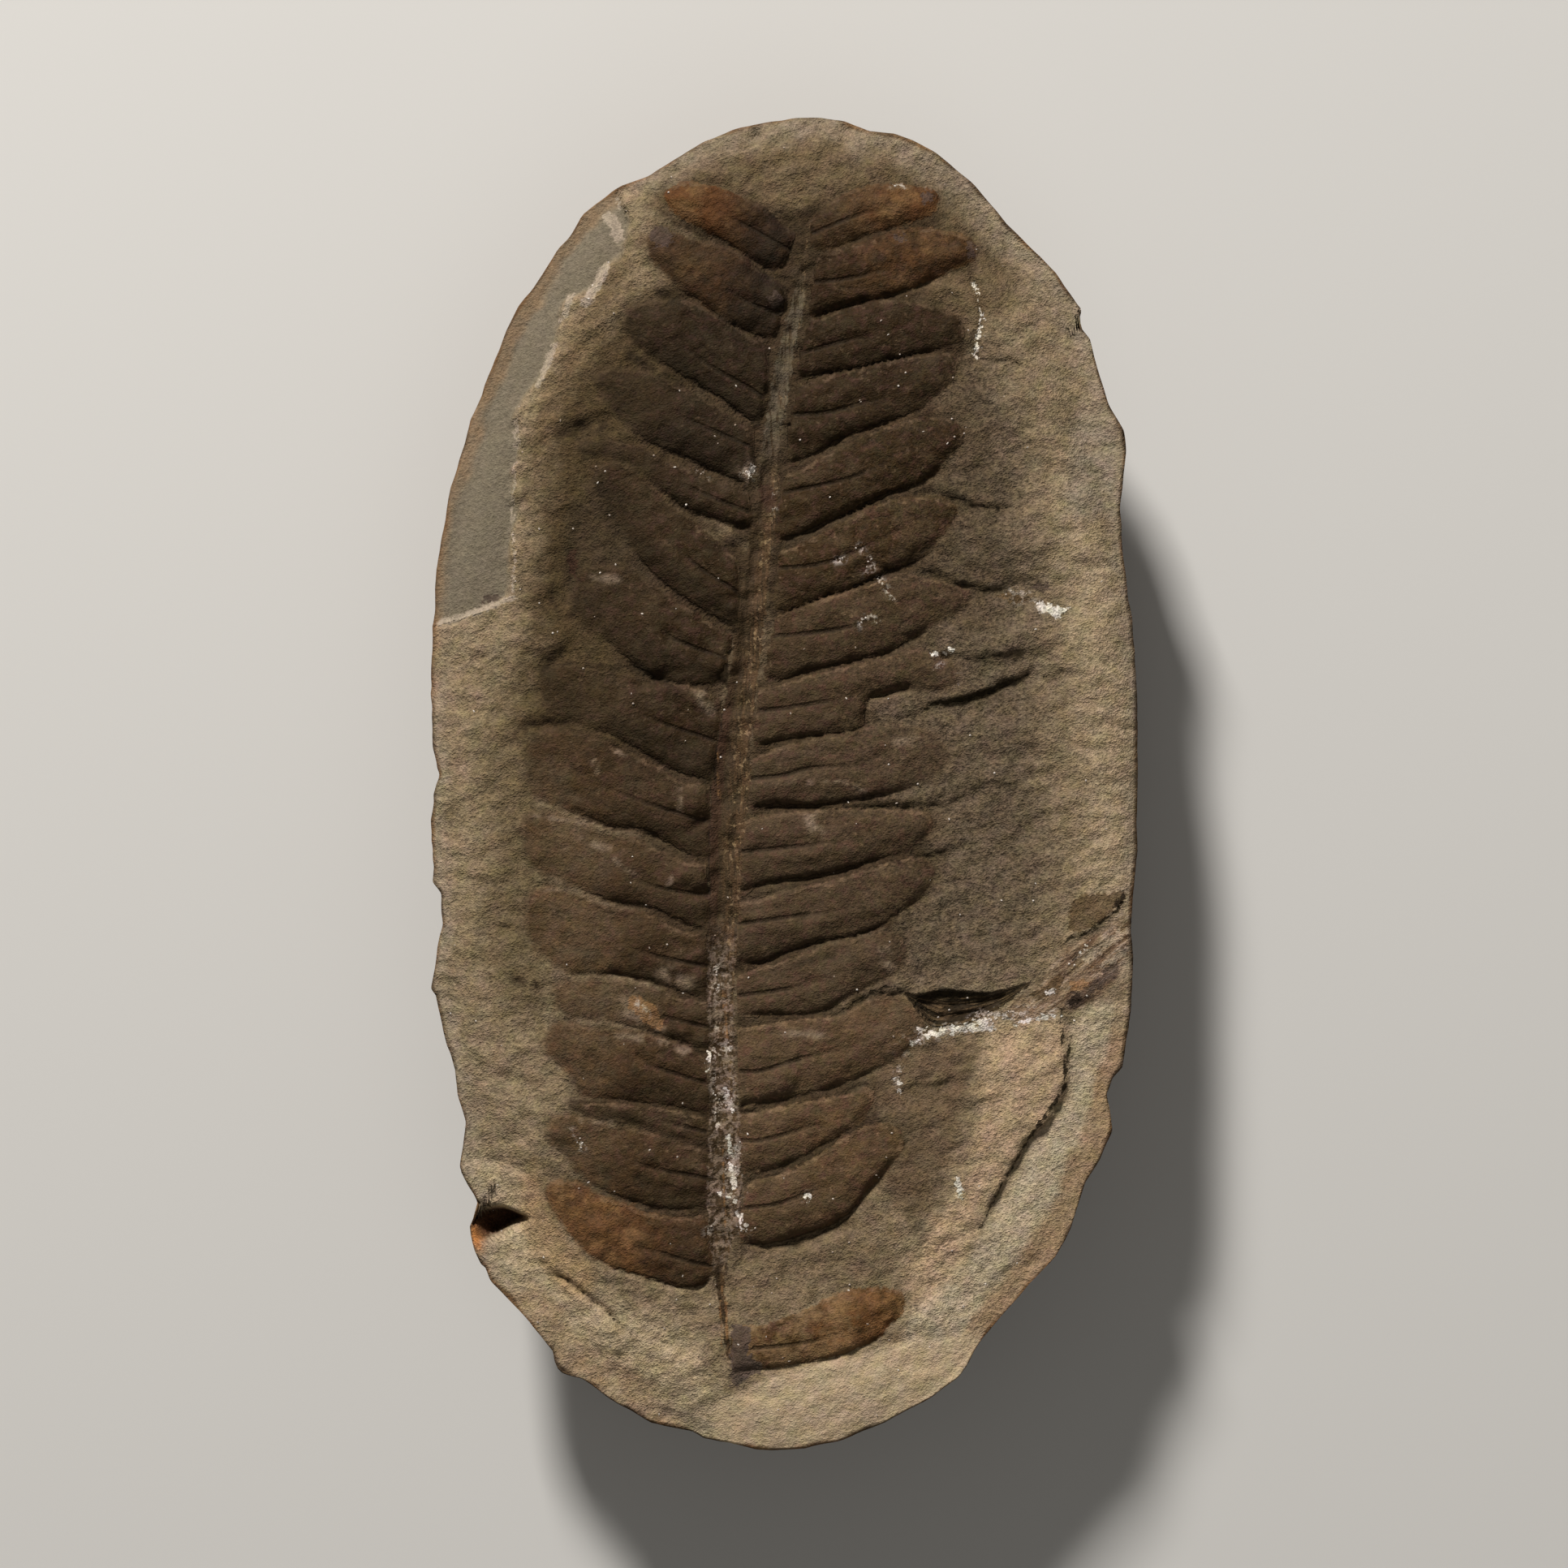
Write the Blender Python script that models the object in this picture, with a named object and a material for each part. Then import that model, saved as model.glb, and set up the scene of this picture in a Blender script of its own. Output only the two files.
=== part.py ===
"""Half of a split ironstone nodule with a fern frond standing in low relief on its split face.

It lies on its rounded back with the split face up. Everything is drawn and joined in millimetres, and
MM turns the finished meshes into metres. +Z is up and +Y runs towards the tip of the frond.
"""

import math

import bmesh
import bpy
from mathutils import Matrix, Vector

MM = 0.001

# Driving sizes of the stone: half its length and width, the level of the split face, how far the face is
# crowned and how far it rolls over at the rim, which starts at a share of the way out.
HALF_LENGTH = 55.0
HALF_WIDTH = 29.2
SPLIT_HEIGHT = 15.0
FACE_CROWN = 0.7
EDGE_ROLL = 1.0
ROLL_START = 0.88
FACE_RINGS = (0.96, 0.92, 0.8, 0.45)

# Driving sizes of the back: the share of the rim that it rests on, how round it is, its number of rings
# and the angle that they turn through.
BASE_SHARE = 0.46
BACK_ROUNDNESS = 0.8
BACK_RINGS = 6
BACK_TURN = math.radians(86)

# Driving sizes of the pinnules: how far one swells, how deep its solid runs into the stone, how far its
# edge dips under the split face, its number of sections, how much closer these stand at the tip, how far
# the last one stops short of the tip, and how high the base and the tip are, as shares of the rise.
PINNULE_RISE = 0.8
BURIED = 1.6
EDGE_DIP = 0.12
STATIONS = 6
STATION_CROWDING = 1.25
TIP_GAP = 0.015
BASE_RISE = 0.8
TIP_RISE = 0.45

# Driving sizes of the stalk's trough: its depth, the share of its width that is flat, how far its cutter
# flares above the face, and its number of sections.
STALK_DEPTH = 0.4
STALK_FLOOR = 0.45
STALK_FLARE = 1.15
STALK_LIP = 0.1
STALK_STEPS = 21

# How far a cutter reaches above the face, and past the rim.
CUT_ABOVE = 4.0
CUT_BEYOND = 36.0
# A split's sections for each span of its line, how far its cutter widens, and how blunt its ends are.
SPLIT_STEPS = 3
SPLIT_SPREAD = 3.0
SPLIT_END = 0.04
# Edges sharper than this stay crisp.
SHARP_ANGLE = math.radians(35)

# The rim of the split face, clockwise from the top of the frond end, one point for each bend or chip.
RIM = [
    (1.0, 55.0), (3.0, 55.0), (5.0, 54.7), (7.0, 53.9), (9.1, 53.7), (10.7, 53.1), (12.4, 52.2),
    (13.7, 51.2), (15.7, 49.5), (18.4, 46.3), (22.4, 42.3), (24.3, 39.7), (24.7, 39.2), (24.3, 38.4),
    (24.4, 37.8), (25.3, 36.8), (25.9, 34.5), (26.9, 31.5), (28.1, 29.2), (28.3, 27.5), (28.0, 24.5),
    (27.8, 22.8), (27.9, 20.5), (28.3, 16.5), (28.8, 13.8), (29.1, 9.0), (29.2, 4.0), (29.2, -5.6),
    (28.8, -9.6), (28.6, -12.3), (28.8, -14.3), (28.6, -18.6), (28.1, -22.6), (28.0, -23.4), (27.1, -24.3),
    (26.6, -25.6), (26.9, -26.9), (27.1, -28.6), (26.1, -31.0), (24.9, -33.0), (23.7, -36.6), (22.4, -39.0),
    (20.7, -40.8), (19.1, -42.5), (16.4, -45.7), (15.7, -46.7), (15.1, -48.0), (14.4, -49.0), (12.4, -50.5),
    (10.1, -51.7), (8.4, -52.8), (5.0, -54.1), (1.7, -55.0), (-2.3, -55.0), (-5.0, -54.3), (-6.6, -54.1),
    (-7.6, -53.5), (-11.0, -52.8), (-14.3, -50.9), (-16.7, -49.1), (-18.3, -48.7), (-18.9, -48.0),
    (-19.0, -47.0), (-21.0, -44.4), (-24.3, -41.0), (-25.1, -39.0), (-26.2, -37.0), (-26.5, -35.8),
    (-26.3, -33.0), (-26.8, -31.6), (-26.5, -29.9), (-26.3, -28.0), (-27.0, -25.6), (-27.2, -23.6),
    (-28.2, -20.3), (-28.8, -17.5), (-29.2, -16.9), (-28.7, -13.6), (-28.2, -11.6), (-28.4, -9.1),
    (-29.0, -8.2), (-29.2, -3.6), (-29.0, -0.9), (-28.5, 0.8), (-29.0, 3.1), (-29.2, 6.8), (-29.0, 14.0),
    (-28.8, 17.8), (-28.0, 21.8), (-27.6, 24.5), (-26.5, 27.8), (-26.0, 30.2), (-25.0, 32.2), (-24.0, 35.2),
    (-22.0, 39.5), (-20.0, 42.2), (-18.7, 44.3), (-17.7, 45.2), (-16.7, 47.1), (-15.3, 48.2), (-14.0, 49.2),
    (-11.0, 50.3), (-9.3, 51.4), (-8.0, 52.3), (-6.6, 53.1), (-4.3, 54.0), (-2.3, 54.5),
]

# The frond's stalk, a shallow trough between the pinnules: x, y and half width, from the tip down.
STALK = [
    (1.8, 46.2, 0.5), (1.2, 41.0, 0.9), (0.0, 33.0, 1.1), (-1.2, 25.5, 1.1), (-2.2, 16.0, 1.4),
    (-3.5, 8.0, 1.5), (-4.5, 0.0, 1.6), (-4.9, -10.0, 1.4), (-5.0, -20.0, 1.2), (-4.9, -36.0, 1.3),
    (-5.1, -40.0, 0.8), (-5.0, -47.5, 0.4),
]

# Each pinnule: its upper edge, lower edge and midrib, from the stalk outwards, and the tip where all meet.
PINNULES = {
    "right_1": ([(2.2, 46.4), (4.5, 48.2), (8.5, 49.4), (11.5, 49.2)],
                [(2.6, 44.0), (5.5, 45.0), (9.0, 45.9), (11.8, 46.9)], [(2.3, 45.3), (6.5, 47.0)],
                (12.8, 48.3)),
    "right_2": ([(2.8, 43.6), (6.0, 44.8), (9.5, 45.9), (13.5, 46.0)],
                [(2.4, 38.5), (6.0, 39.9), (10.5, 40.9), (14.3, 42.5)],
                [(2.2, 41.2), (6.5, 41.9), (11.5, 43.1)], (15.9, 44.3)),
    "right_3": ([(2.2, 38.1), (5.0, 39.1), (9.0, 39.9), (13.2, 39.9)],
                [(1.0, 34.0), (6.0, 34.2), (10.5, 35.1), (13.8, 36.0)],
                [(1.2, 35.4), (6.0, 36.3), (11.0, 37.5)], (15.0, 37.4)),
    "right_4": ([(0.8, 32.9), (4.0, 33.7), (9.0, 34.6), (13.2, 35.4)],
                [(0.6, 29.6), (4.0, 29.3), (7.5, 29.5), (11.3, 30.7), (13.4, 32.6)],
                [(0.4, 30.3), (4.5, 30.7), (9.0, 32.2)], (14.5, 34.4)),
    "right_4_fold": ([(-0.1, 28.2), (2.0, 29.1), (4.5, 29.0)], [(-0.1, 26.0), (2.5, 27.0), (5.0, 28.1)],
                     [(-0.1, 27.3), (4.0, 28.4)], (7.5, 29.0)),
    "right_5": ([(0.1, 25.4), (3.0, 26.9), (6.3, 28.6), (11.0, 30.3), (13.5, 30.0)],
                [(-0.2, 20.8), (3.0, 21.6), (7.0, 23.1), (11.0, 24.7), (13.4, 26.7)],
                [(-0.2, 23.6), (4.0, 24.5), (8.0, 26.4), (12.0, 27.8)], (15.0, 28.4)),
    "right_6": ([(-0.2, 19.2), (3.0, 20.4), (7.0, 22.1), (11.0, 23.4), (13.2, 23.3)],
                [(-0.6, 14.3), (3.0, 15.2), (7.0, 16.8), (10.0, 17.9), (12.7, 20.0)],
                [(-0.5, 17.6), (3.5, 17.9), (8.0, 19.9), (12.0, 21.8)], (14.1, 22.3)),
    "right_7": ([(-0.4, 14.0), (3.0, 15.1), (7.0, 16.2), (11.0, 17.0), (14.0, 16.2)],
                [(-1.5, 8.4), (2.0, 9.3), (7.0, 10.3), (11.0, 12.1), (14.3, 14.3)],
                [(-1.0, 12.0), (4.0, 12.7), (9.0, 13.9), (13.0, 14.9)], (15.4, 15.3)),
    "right_8": ([(-1.8, 8.0), (1.5, 9.0), (6.0, 10.0), (10.0, 10.9), (12.7, 10.5)],
                [(-2.2, 2.9), (2.0, 4.0), (6.2, 4.6), (7.4, 6.8), (12.5, 7.4)],
                [(-2.1, 6.0), (2.0, 6.4), (6.0, 7.4), (10.5, 8.6)], (14.3, 8.9)),
    "right_9": ([(-2.3, 2.6), (0.5, 3.5), (5.0, 4.0), (9.5, 4.6), (12.5, 4.4)],
                [(-2.8, -2.0), (2.0, -1.9), (6.5, -1.4), (10.0, -0.2), (12.6, 1.4)],
                [(-2.7, 0.4), (1.5, 1.1), (6.5, 1.7), (11.0, 2.4)], (13.7, 3.0)),
    "right_10": ([(-3.1, -3.2), (0.0, -2.3), (5.0, -2.0), (9.5, -2.0)],
                 [(-3.4, -9.0), (1.0, -8.0), (5.0, -7.1), (9.5, -5.8)],
                 [(-3.3, -5.6), (0.5, -5.3), (5.0, -4.9), (9.0, -4.0)], (12.2, -3.4)),
    "right_11": ([(-3.8, -9.7), (0.0, -8.7), (5.0, -7.7), (9.5, -6.2), (11.6, -6.1)],
                 [(-3.4, -14.9), (1.0, -13.7), (5.0, -12.8), (8.3, -11.8), (10.8, -9.6)],
                 [(-3.5, -11.5), (0.0, -11.0), (4.0, -10.0), (9.0, -8.6)], (12.5, -7.4)),
    "right_12": ([(-3.7, -15.8), (0.0, -14.3), (4.0, -13.1), (7.8, -12.2)],
                 [(-3.5, -19.4), (1.5, -19.3), (5.0, -18.3), (8.6, -16.2)],
                 [(-3.6, -17.3), (0.5, -16.8), (5.0, -15.5)], (9.8, -13.9)),
    "right_13": ([(-3.7, -20.2), (0.0, -19.7), (4.0, -19.1), (8.0, -17.0), (10.2, -17.9)],
                 [(-3.6, -26.4), (0.5, -25.8), (4.5, -24.6), (8.5, -22.6)],
                 [(-3.9, -23.5), (0.0, -23.0), (4.5, -21.5), (8.5, -20.4)], (11.6, -20.2)),
    "right_14": ([(-3.3, -27.2), (0.0, -26.4), (4.0, -25.8)],
                 [(-3.2, -32.0), (0.5, -31.1), (3.5, -29.3), (6.3, -27.4)],
                 [(-3.4, -29.2), (-0.5, -28.9), (3.5, -27.4)], (7.4, -25.5)),
    "right_15": ([(-3.0, -32.8), (0.5, -31.7), (4.0, -29.7), (8.0, -28.1)],
                 [(-4.2, -37.3), (-1.5, -38.0), (3.0, -36.8), (6.5, -34.3), (9.2, -31.2)],
                 [(-3.6, -34.8), (0.0, -34.5), (4.5, -32.8), (8.0, -30.9)], (10.0, -29.6)),
    "right_16": ([(-3.8, -44.6), (0.0, -44.4), (3.5, -42.5), (7.5, -41.6), (9.4, -41.9)],
                 [(-3.6, -48.3), (0.0, -47.9), (4.0, -47.2), (8.2, -45.6)],
                 [(-3.6, -46.0), (0.5, -46.0), (4.0, -45.4), (7.5, -44.0)], (9.8, -43.2)),
    "left_1": ([(1.0, 45.4), (-2.0, 47.7), (-5.5, 49.1), (-8.5, 49.5)],
               [(-1.8, 42.4), (-4.5, 44.3), (-7.5, 46.0), (-9.3, 47.2)], [(0.0, 44.2), (-4.5, 46.8)],
               (-9.9, 48.4)),
    "left_2": ([(0.4, 41.0), (-2.0, 42.5), (-5.0, 44.2), (-8.5, 44.9), (-10.2, 45.7)],
               [(-1.2, 36.2), (-4.5, 37.8), (-8.0, 40.4), (-10.6, 42.6)],
               [(-0.2, 38.6), (-3.0, 39.6), (-7.0, 42.2)], (-11.3, 44.6)),
    "left_3": ([(-1.2, 35.7), (-4.0, 37.4), (-8.0, 39.6), (-11.5, 39.7)],
               [(-1.8, 30.6), (-4.5, 31.2), (-8.0, 33.4), (-12.0, 36.0)],
               [(-1.3, 32.4), (-4.5, 33.6), (-9.0, 36.3)], (-13.4, 38.2)),
    "left_4": ([(-2.6, 29.4), (-5.0, 30.6), (-9.0, 33.0), (-12.5, 34.0), (-14.8, 34.1)],
               [(-4.2, 26.0), (-8.0, 26.9), (-11.5, 28.5), (-14.2, 30.9)],
               [(-3.0, 27.9), (-8.0, 30.0), (-12.0, 32.0)], (-15.7, 33.2)),
    "left_5": ([(-3.2, 23.9), (-6.5, 25.4), (-10.5, 27.2), (-14.5, 28.2)],
               [(-2.9, 20.9), (-6.5, 22.0), (-10.5, 24.6), (-14.5, 26.8)],
               [(-3.0, 22.4), (-7.0, 24.0), (-12.0, 26.4)], (-16.8, 27.7)),
    "left_6": ([(-3.7, 18.2), (-7.0, 20.8), (-10.5, 24.2), (-13.5, 26.5), (-15.0, 26.2)],
               [(-4.0, 13.4), (-8.0, 14.8), (-11.0, 17.5), (-14.0, 21.6)],
               [(-3.9, 15.9), (-7.5, 18.2), (-12.0, 22.5)], (-15.9, 25.0)),
    "left_7": ([(-4.3, 12.3), (-8.0, 14.6), (-12.0, 17.2), (-15.5, 17.9)],
               [(-5.6, 8.2), (-9.5, 8.5), (-13.0, 10.4), (-16.6, 13.4)],
               [(-4.8, 10.3), (-9.0, 11.9), (-13.5, 14.7)], (-17.3, 16.7)),
    "left_8": ([(-5.2, 6.9), (-9.5, 8.1), (-14.0, 9.2), (-18.3, 9.8)],
               [(-6.2, 0.5), (-10.0, 1.5), (-14.0, 4.2), (-18.5, 5.8)],
               [(-5.8, 3.6), (-10.0, 5.0), (-15.0, 7.2)], (-20.2, 8.8)),
    "left_9": ([(-6.2, 0.1), (-10.0, 1.2), (-14.0, 2.9), (-18.5, 4.5), (-20.4, 4.2)],
               [(-6.3, -6.0), (-10.0, -4.7), (-14.0, -3.5), (-18.5, -1.9), (-20.9, -0.2)],
               [(-6.3, -3.0), (-11.0, -1.6), (-16.0, 0.6)], (-21.3, 2.6)),
    "left_10": ([(-6.3, -6.5), (-10.0, -5.5), (-14.0, -4.1), (-18.5, -2.5), (-20.4, -2.2)],
                [(-6.3, -11.9), (-10.0, -10.7), (-14.0, -9.8), (-18.5, -7.9), (-21.0, -6.0)],
                [(-6.3, -9.2), (-11.0, -8.3), (-16.0, -6.0)], (-21.6, -3.6)),
    "left_11": ([(-6.3, -12.3), (-10.0, -11.2), (-14.0, -10.1), (-18.0, -8.6), (-20.4, -8.6)],
                [(-6.3, -17.6), (-11.0, -16.2), (-15.0, -15.2), (-18.0, -14.8), (-20.8, -12.6)],
                [(-6.3, -15.0), (-11.0, -14.0), (-16.0, -12.2)], (-21.4, -10.2)),
    "left_12": ([(-6.3, -18.1), (-10.0, -17.0), (-14.0, -16.0), (-17.5, -16.1)],
                [(-6.4, -21.7), (-10.5, -20.5), (-14.5, -19.7), (-17.8, -19.1)],
                [(-6.3, -20.0), (-12.0, -18.6)], (-19.0, -17.2)),
    "left_13": ([(-6.3, -22.6), (-10.0, -20.9), (-14.0, -20.1), (-18.0, -19.8)],
                [(-6.4, -27.0), (-10.0, -26.2), (-14.0, -25.6), (-18.2, -23.6)],
                [(-6.4, -24.4), (-10.5, -23.4), (-14.5, -21.6)], (-19.7, -21.4)),
    "left_13_fold": ([(-6.4, -27.4), (-10.0, -26.5), (-13.5, -26.0)],
                     [(-6.4, -29.9), (-10.0, -28.7), (-14.0, -27.9)],
                     [(-6.4, -28.7), (-11.0, -27.6)], (-17.2, -26.5)),
    "left_14": ([(-6.3, -30.2), (-10.0, -28.9), (-14.0, -28.0), (-18.0, -27.3)],
                [(-6.3, -34.9), (-10.0, -35.0), (-14.0, -33.8), (-18.0, -31.3)],
                [(-6.3, -32.4), (-11.0, -31.5), (-15.5, -29.8)], (-19.7, -28.5)),
    "left_15": ([(-6.3, -35.4), (-10.5, -35.4), (-14.5, -34.1), (-18.2, -32.6)],
                [(-5.9, -40.6), (-8.0, -41.5), (-13.0, -40.1), (-17.2, -37.6)],
                [(-6.2, -39.4), (-10.0, -38.6), (-14.0, -36.9)], (-19.7, -33.6)),
}

# Across half a pinnule, from its edge to the midrib: share of the way, and share of the rise.
HALF_SECTION = ((0.0, 0.0), (0.34, 1.0), (1.0, 0.58))

# Broken off the rim: the plan of each spall, and the height of its floor.
SPALLS = {
    "left_spall": ([(-14.0, 50.5), (-13.2, 48.0), (-13.0, 45.2), (-15.2, 41.3), (-18.2, 38.6),
                    (-18.8, 35.6), (-21.5, 31.0), (-22.3, 26.0), (-22.3, 15.4), (-25.5, 13.6),
                    (-29.5, 12.8), (-CUT_BEYOND, 12.8), (-CUT_BEYOND, 50.5)], 14.3),
    "right_spall": ([(22.6, -18.0), (23.1, -24.5), (21.3, -28.0), (18.6, -32.3), (16.2, -36.6),
                     (21.0, -42.0), (CUT_BEYOND, -30.0), (CUT_BEYOND, -18.0)], 14.1),
}

# Splits in the stone beside the fern: their lines in plan, with width and depth.
SPLITS = {
    "fold_a": ([(8.6, 5.4), (12.0, 6.7), (15.0, 7.2), (17.6, 8.3), (20.4, 9.4)], 0.9, 0.9),
    "fold_b": ([(12.0, 24.0), (14.5, 23.6), (17.0, 23.0), (19.4, 23.1)], 0.7, 0.5),
    "fold_c": ([(10.8, 17.7), (13.5, 16.6), (16.0, 16.2), (19.0, 16.9)], 0.7, 0.5),
    "fold_d": ([(9.0, -1.7), (12.0, -1.6), (14.8, -1.2)], 0.7, 0.6),
    "crack": ([(-18.6, -40.5), (-16.0, -42.3), (-13.0, -45.0)], 0.5, 0.5),
}

# The hollow where plant fibres lie, and the broken corner, in plan.
FIBRE_HOLLOW = [(9.2, -16.8), (11.0, -17.7), (13.0, -16.9), (17.0, -16.8), (20.8, -15.9), (18.0, -18.6),
                (15.0, -20.0), (11.5, -20.3), (10.2, -18.6)]
FIBRE_DEPTH = 0.7
CORNER = [(-21.4, -35.8), (-24.9, -35.3), (-28.5, -34.6), (-28.5, -38.0), (-25.3, -37.8)]
CORNER_DEPTH = 4.5


def start_scene():
    """Removes what the file holds and makes one collection for the stone and one for its tools."""
    for found in list(bpy.data.objects):
        bpy.data.objects.remove(found)
    made = []
    for name in ("fern_nodule", "tools"):
        collection = bpy.data.collections.new(name)
        bpy.context.scene.collection.children.link(collection)
        made.append(collection)
    return made


def mesh_object(name, shape, collection):
    """Writes a bmesh to a new object, in triangles because a bent four-sided face spoils a Boolean."""
    bmesh.ops.triangulate(shape, faces=shape.faces[:])
    bmesh.ops.recalc_face_normals(shape, faces=shape.faces)
    mesh = bpy.data.meshes.new(name)
    shape.to_mesh(mesh)
    shape.free()
    made = bpy.data.objects.new(name, mesh)
    collection.objects.link(made)
    return made


def along(points, share):
    """The point at a share of the way along a smooth line through the points."""
    scaled = min(max(share, 0.0), 1.0) * (len(points) - 1)
    i = min(int(scaled), len(points) - 2)
    a, b = Vector(points[i]), Vector(points[i + 1])
    before = Vector(points[max(i - 1, 0)])
    after = Vector(points[min(i + 2, len(points) - 1)])
    near_a, near_b = a + (b - before) / 6, b - (after - a) / 6
    t = scaled - i
    return a * (1 - t) ** 3 + near_a * 3 * t * (1 - t) ** 2 + near_b * 3 * t * t * (1 - t) + b * t ** 3


def rim_share(x, y):
    """How far out a point of the split face lies: 0 at the centre, 1 at the rim, nearly enough."""
    return math.hypot(x / HALF_WIDTH, y / HALF_LENGTH)


def face_height(x, y):
    """Height of the split face before the fern: a low crown that rolls over at the rim."""
    share = min(rim_share(x, y), 1.0)
    roll = max(share - ROLL_START, 0.0) / (1 - ROLL_START)
    return SPLIT_HEIGHT + FACE_CROWN * (1 - share ** 2) - EDGE_ROLL * roll ** 2


def stone(collection):
    """The split half: rings of the rim's outline, in over the face and round under the back."""
    shape = bmesh.new()
    rim_height = SPLIT_HEIGHT - EDGE_ROLL

    def face_ring(share):
        return [(x * share, y * share, face_height(x * share, y * share)) for x, y in RIM]

    def back_ring(step):
        worn = step / BACK_RINGS
        turn = BACK_TURN * worn
        size = BASE_SHARE + (1 - BASE_SHARE) * math.cos(turn) ** BACK_ROUNDNESS
        height = rim_height * (1 - math.sin(turn) / math.sin(BACK_TURN))
        ring = []
        for x, y in RIM:
            angle = math.atan2(y / HALF_LENGTH, x / HALF_WIDTH)
            oval_x, oval_y = HALF_WIDTH * math.cos(angle), HALF_LENGTH * math.sin(angle)
            ring.append(((x + (oval_x - x) * worn) * size, (y + (oval_y - y) * worn) * size, height))
        return ring

    rings = [back_ring(step) for step in range(BACK_RINGS, 0, -1)]
    rings += [face_ring(1.0)] + [face_ring(share) for share in FACE_RINGS]
    loops = [[shape.verts.new(point) for point in ring] for ring in rings]
    for low, high in zip(loops, loops[1:]):
        for i in range(len(RIM)):
            j = (i + 1) % len(RIM)
            shape.faces.new((low[i], low[j], high[j], high[i]))
    centre = shape.verts.new((0, 0, face_height(0, 0)))
    for i in range(len(RIM)):
        shape.faces.new((loops[-1][i], loops[-1][(i + 1) % len(RIM)], centre))
    shape.faces.new(loops[0])
    return mesh_object("nodule_half", shape, collection)


def section_across():
    """A pinnule's whole section from the upper edge over the midrib to the lower edge."""
    down = [("upper", share, rise) for share, rise in HALF_SECTION]
    return down + [("lower", share, rise) for share, rise in reversed(HALF_SECTION[:-1])]


def leaf_solid(name, upper, lower, rib, tip, collection):
    """One pinnule: a grid bent between its two edges and the midrib, with a skirt down into the stone."""
    across = section_across()
    shape = bmesh.new()
    grid = bmesh.ops.create_grid(shape, x_segments=len(across) - 1, y_segments=STATIONS - 1, size=1.0)
    rows = sorted(grid["verts"], key=lambda v: (round(v.co.y, 4), round(v.co.x, 4)))
    lines = {"upper": upper + [tip], "lower": lower + [tip], "rib": rib + [tip]}
    for row in range(STATIONS):
        share = (1 - (1 - row / (STATIONS - 1)) ** STATION_CROWDING) * (1 - TIP_GAP)
        swell = min(1.0, BASE_RISE + share) * (1 - (1 - TIP_RISE) * share ** 4)
        ends = {key: along(line, share) for key, line in lines.items()}
        for column, (side, inward, rise) in enumerate(across):
            place = ends[side].lerp(ends["rib"], inward)
            dip = EDGE_DIP if inward == 0 else 0
            height = face_height(*place) + PINNULE_RISE * swell * rise - dip
            rows[row * len(across) + column].co = (place.x, place.y, height)
    skirt = bmesh.ops.extrude_face_region(shape, geom=shape.faces[:])
    for v in (part for part in skirt["geom"] if isinstance(part, bmesh.types.BMVert)):
        v.co.z = face_height(v.co.x, v.co.y) - BURIED
    return mesh_object(name, shape, collection)


def stalk_cutter(collection):
    """A long bar with a sloping foot on each side that cuts the trough of the stalk."""
    shape = bmesh.new()
    sections = []
    for step in range(STALK_STEPS + 1):
        x, y, half = along(STALK, step / STALK_STEPS)
        level = face_height(x, y)
        floor, flare = half * STALK_FLOOR, half * STALK_FLARE
        profile = ((-half, STALK_LIP), (-floor, -STALK_DEPTH), (floor, -STALK_DEPTH), (half, STALK_LIP),
                   (flare, CUT_ABOVE), (-flare, CUT_ABOVE))
        sections.append([shape.verts.new((x + dx, y, level + dz)) for dx, dz in profile])
    loft(shape, sections)
    return mesh_object("stalk", shape, collection)


def loft(shape, sections):
    """Closes a solid over sections that have the same number of corners."""
    for near, far in zip(sections, sections[1:]):
        for i in range(len(near)):
            j = (i + 1) % len(near)
            shape.faces.new((near[i], near[j], far[j], far[i]))
    shape.faces.new(sections[0])
    shape.faces.new(sections[-1])


def prism(name, plan, low, high, collection):
    """A closed prism over a plan outline."""
    shape = bmesh.new()
    corners = [shape.verts.new((x, y, low)) for x, y in plan]
    floor = shape.faces.new(corners)
    raised = bmesh.ops.extrude_face_region(shape, geom=[floor])
    lifted = [part for part in raised["geom"] if isinstance(part, bmesh.types.BMVert)]
    bmesh.ops.translate(shape, verts=lifted, vec=(0, 0, high - low))
    return mesh_object(name, shape, collection)


def split_cutter(name, line, width, depth, collection):
    """A wedge along a line in plan, sharp at its foot, that cuts a split narrowing at both ends."""
    shape = bmesh.new()
    sections = []
    steps = SPLIT_STEPS * (len(line) - 1)
    for step in range(steps + 1):
        share = step / steps
        here = along(line, share)
        ahead = (along(line, share + SPLIT_END) - along(line, share - SPLIT_END)).normalized()
        open_share = math.sqrt(math.sin(math.pi * (SPLIT_END + (1 - 2 * SPLIT_END) * share)))
        spread = Vector((-ahead.y, ahead.x)) * width / 2 * open_share * SPLIT_SPREAD
        level = face_height(*here)
        top = level + (SPLIT_SPREAD - 1) * depth
        corners = ((*here, level - depth * open_share), (*(here - spread), top), (*(here + spread), top))
        sections.append([shape.verts.new(corner) for corner in corners])
    loft(shape, sections)
    return mesh_object(name, shape, collection)


def apply_boolean(target, tool, operation):
    """Joins or cuts with one tool, and keeps the result as the target's own mesh."""
    modifier = target.modifiers.new(operation.lower(), "BOOLEAN")
    modifier.operation = operation
    modifier.solver = "EXACT"
    modifier.object = tool
    bpy.context.view_layer.update()
    result = bpy.data.meshes.new_from_object(target.evaluated_get(bpy.context.evaluated_depsgraph_get()))
    target.modifiers.clear()
    target.data = result
    tool.hide_render = True
    tool.display_type = "WIRE"


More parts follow.
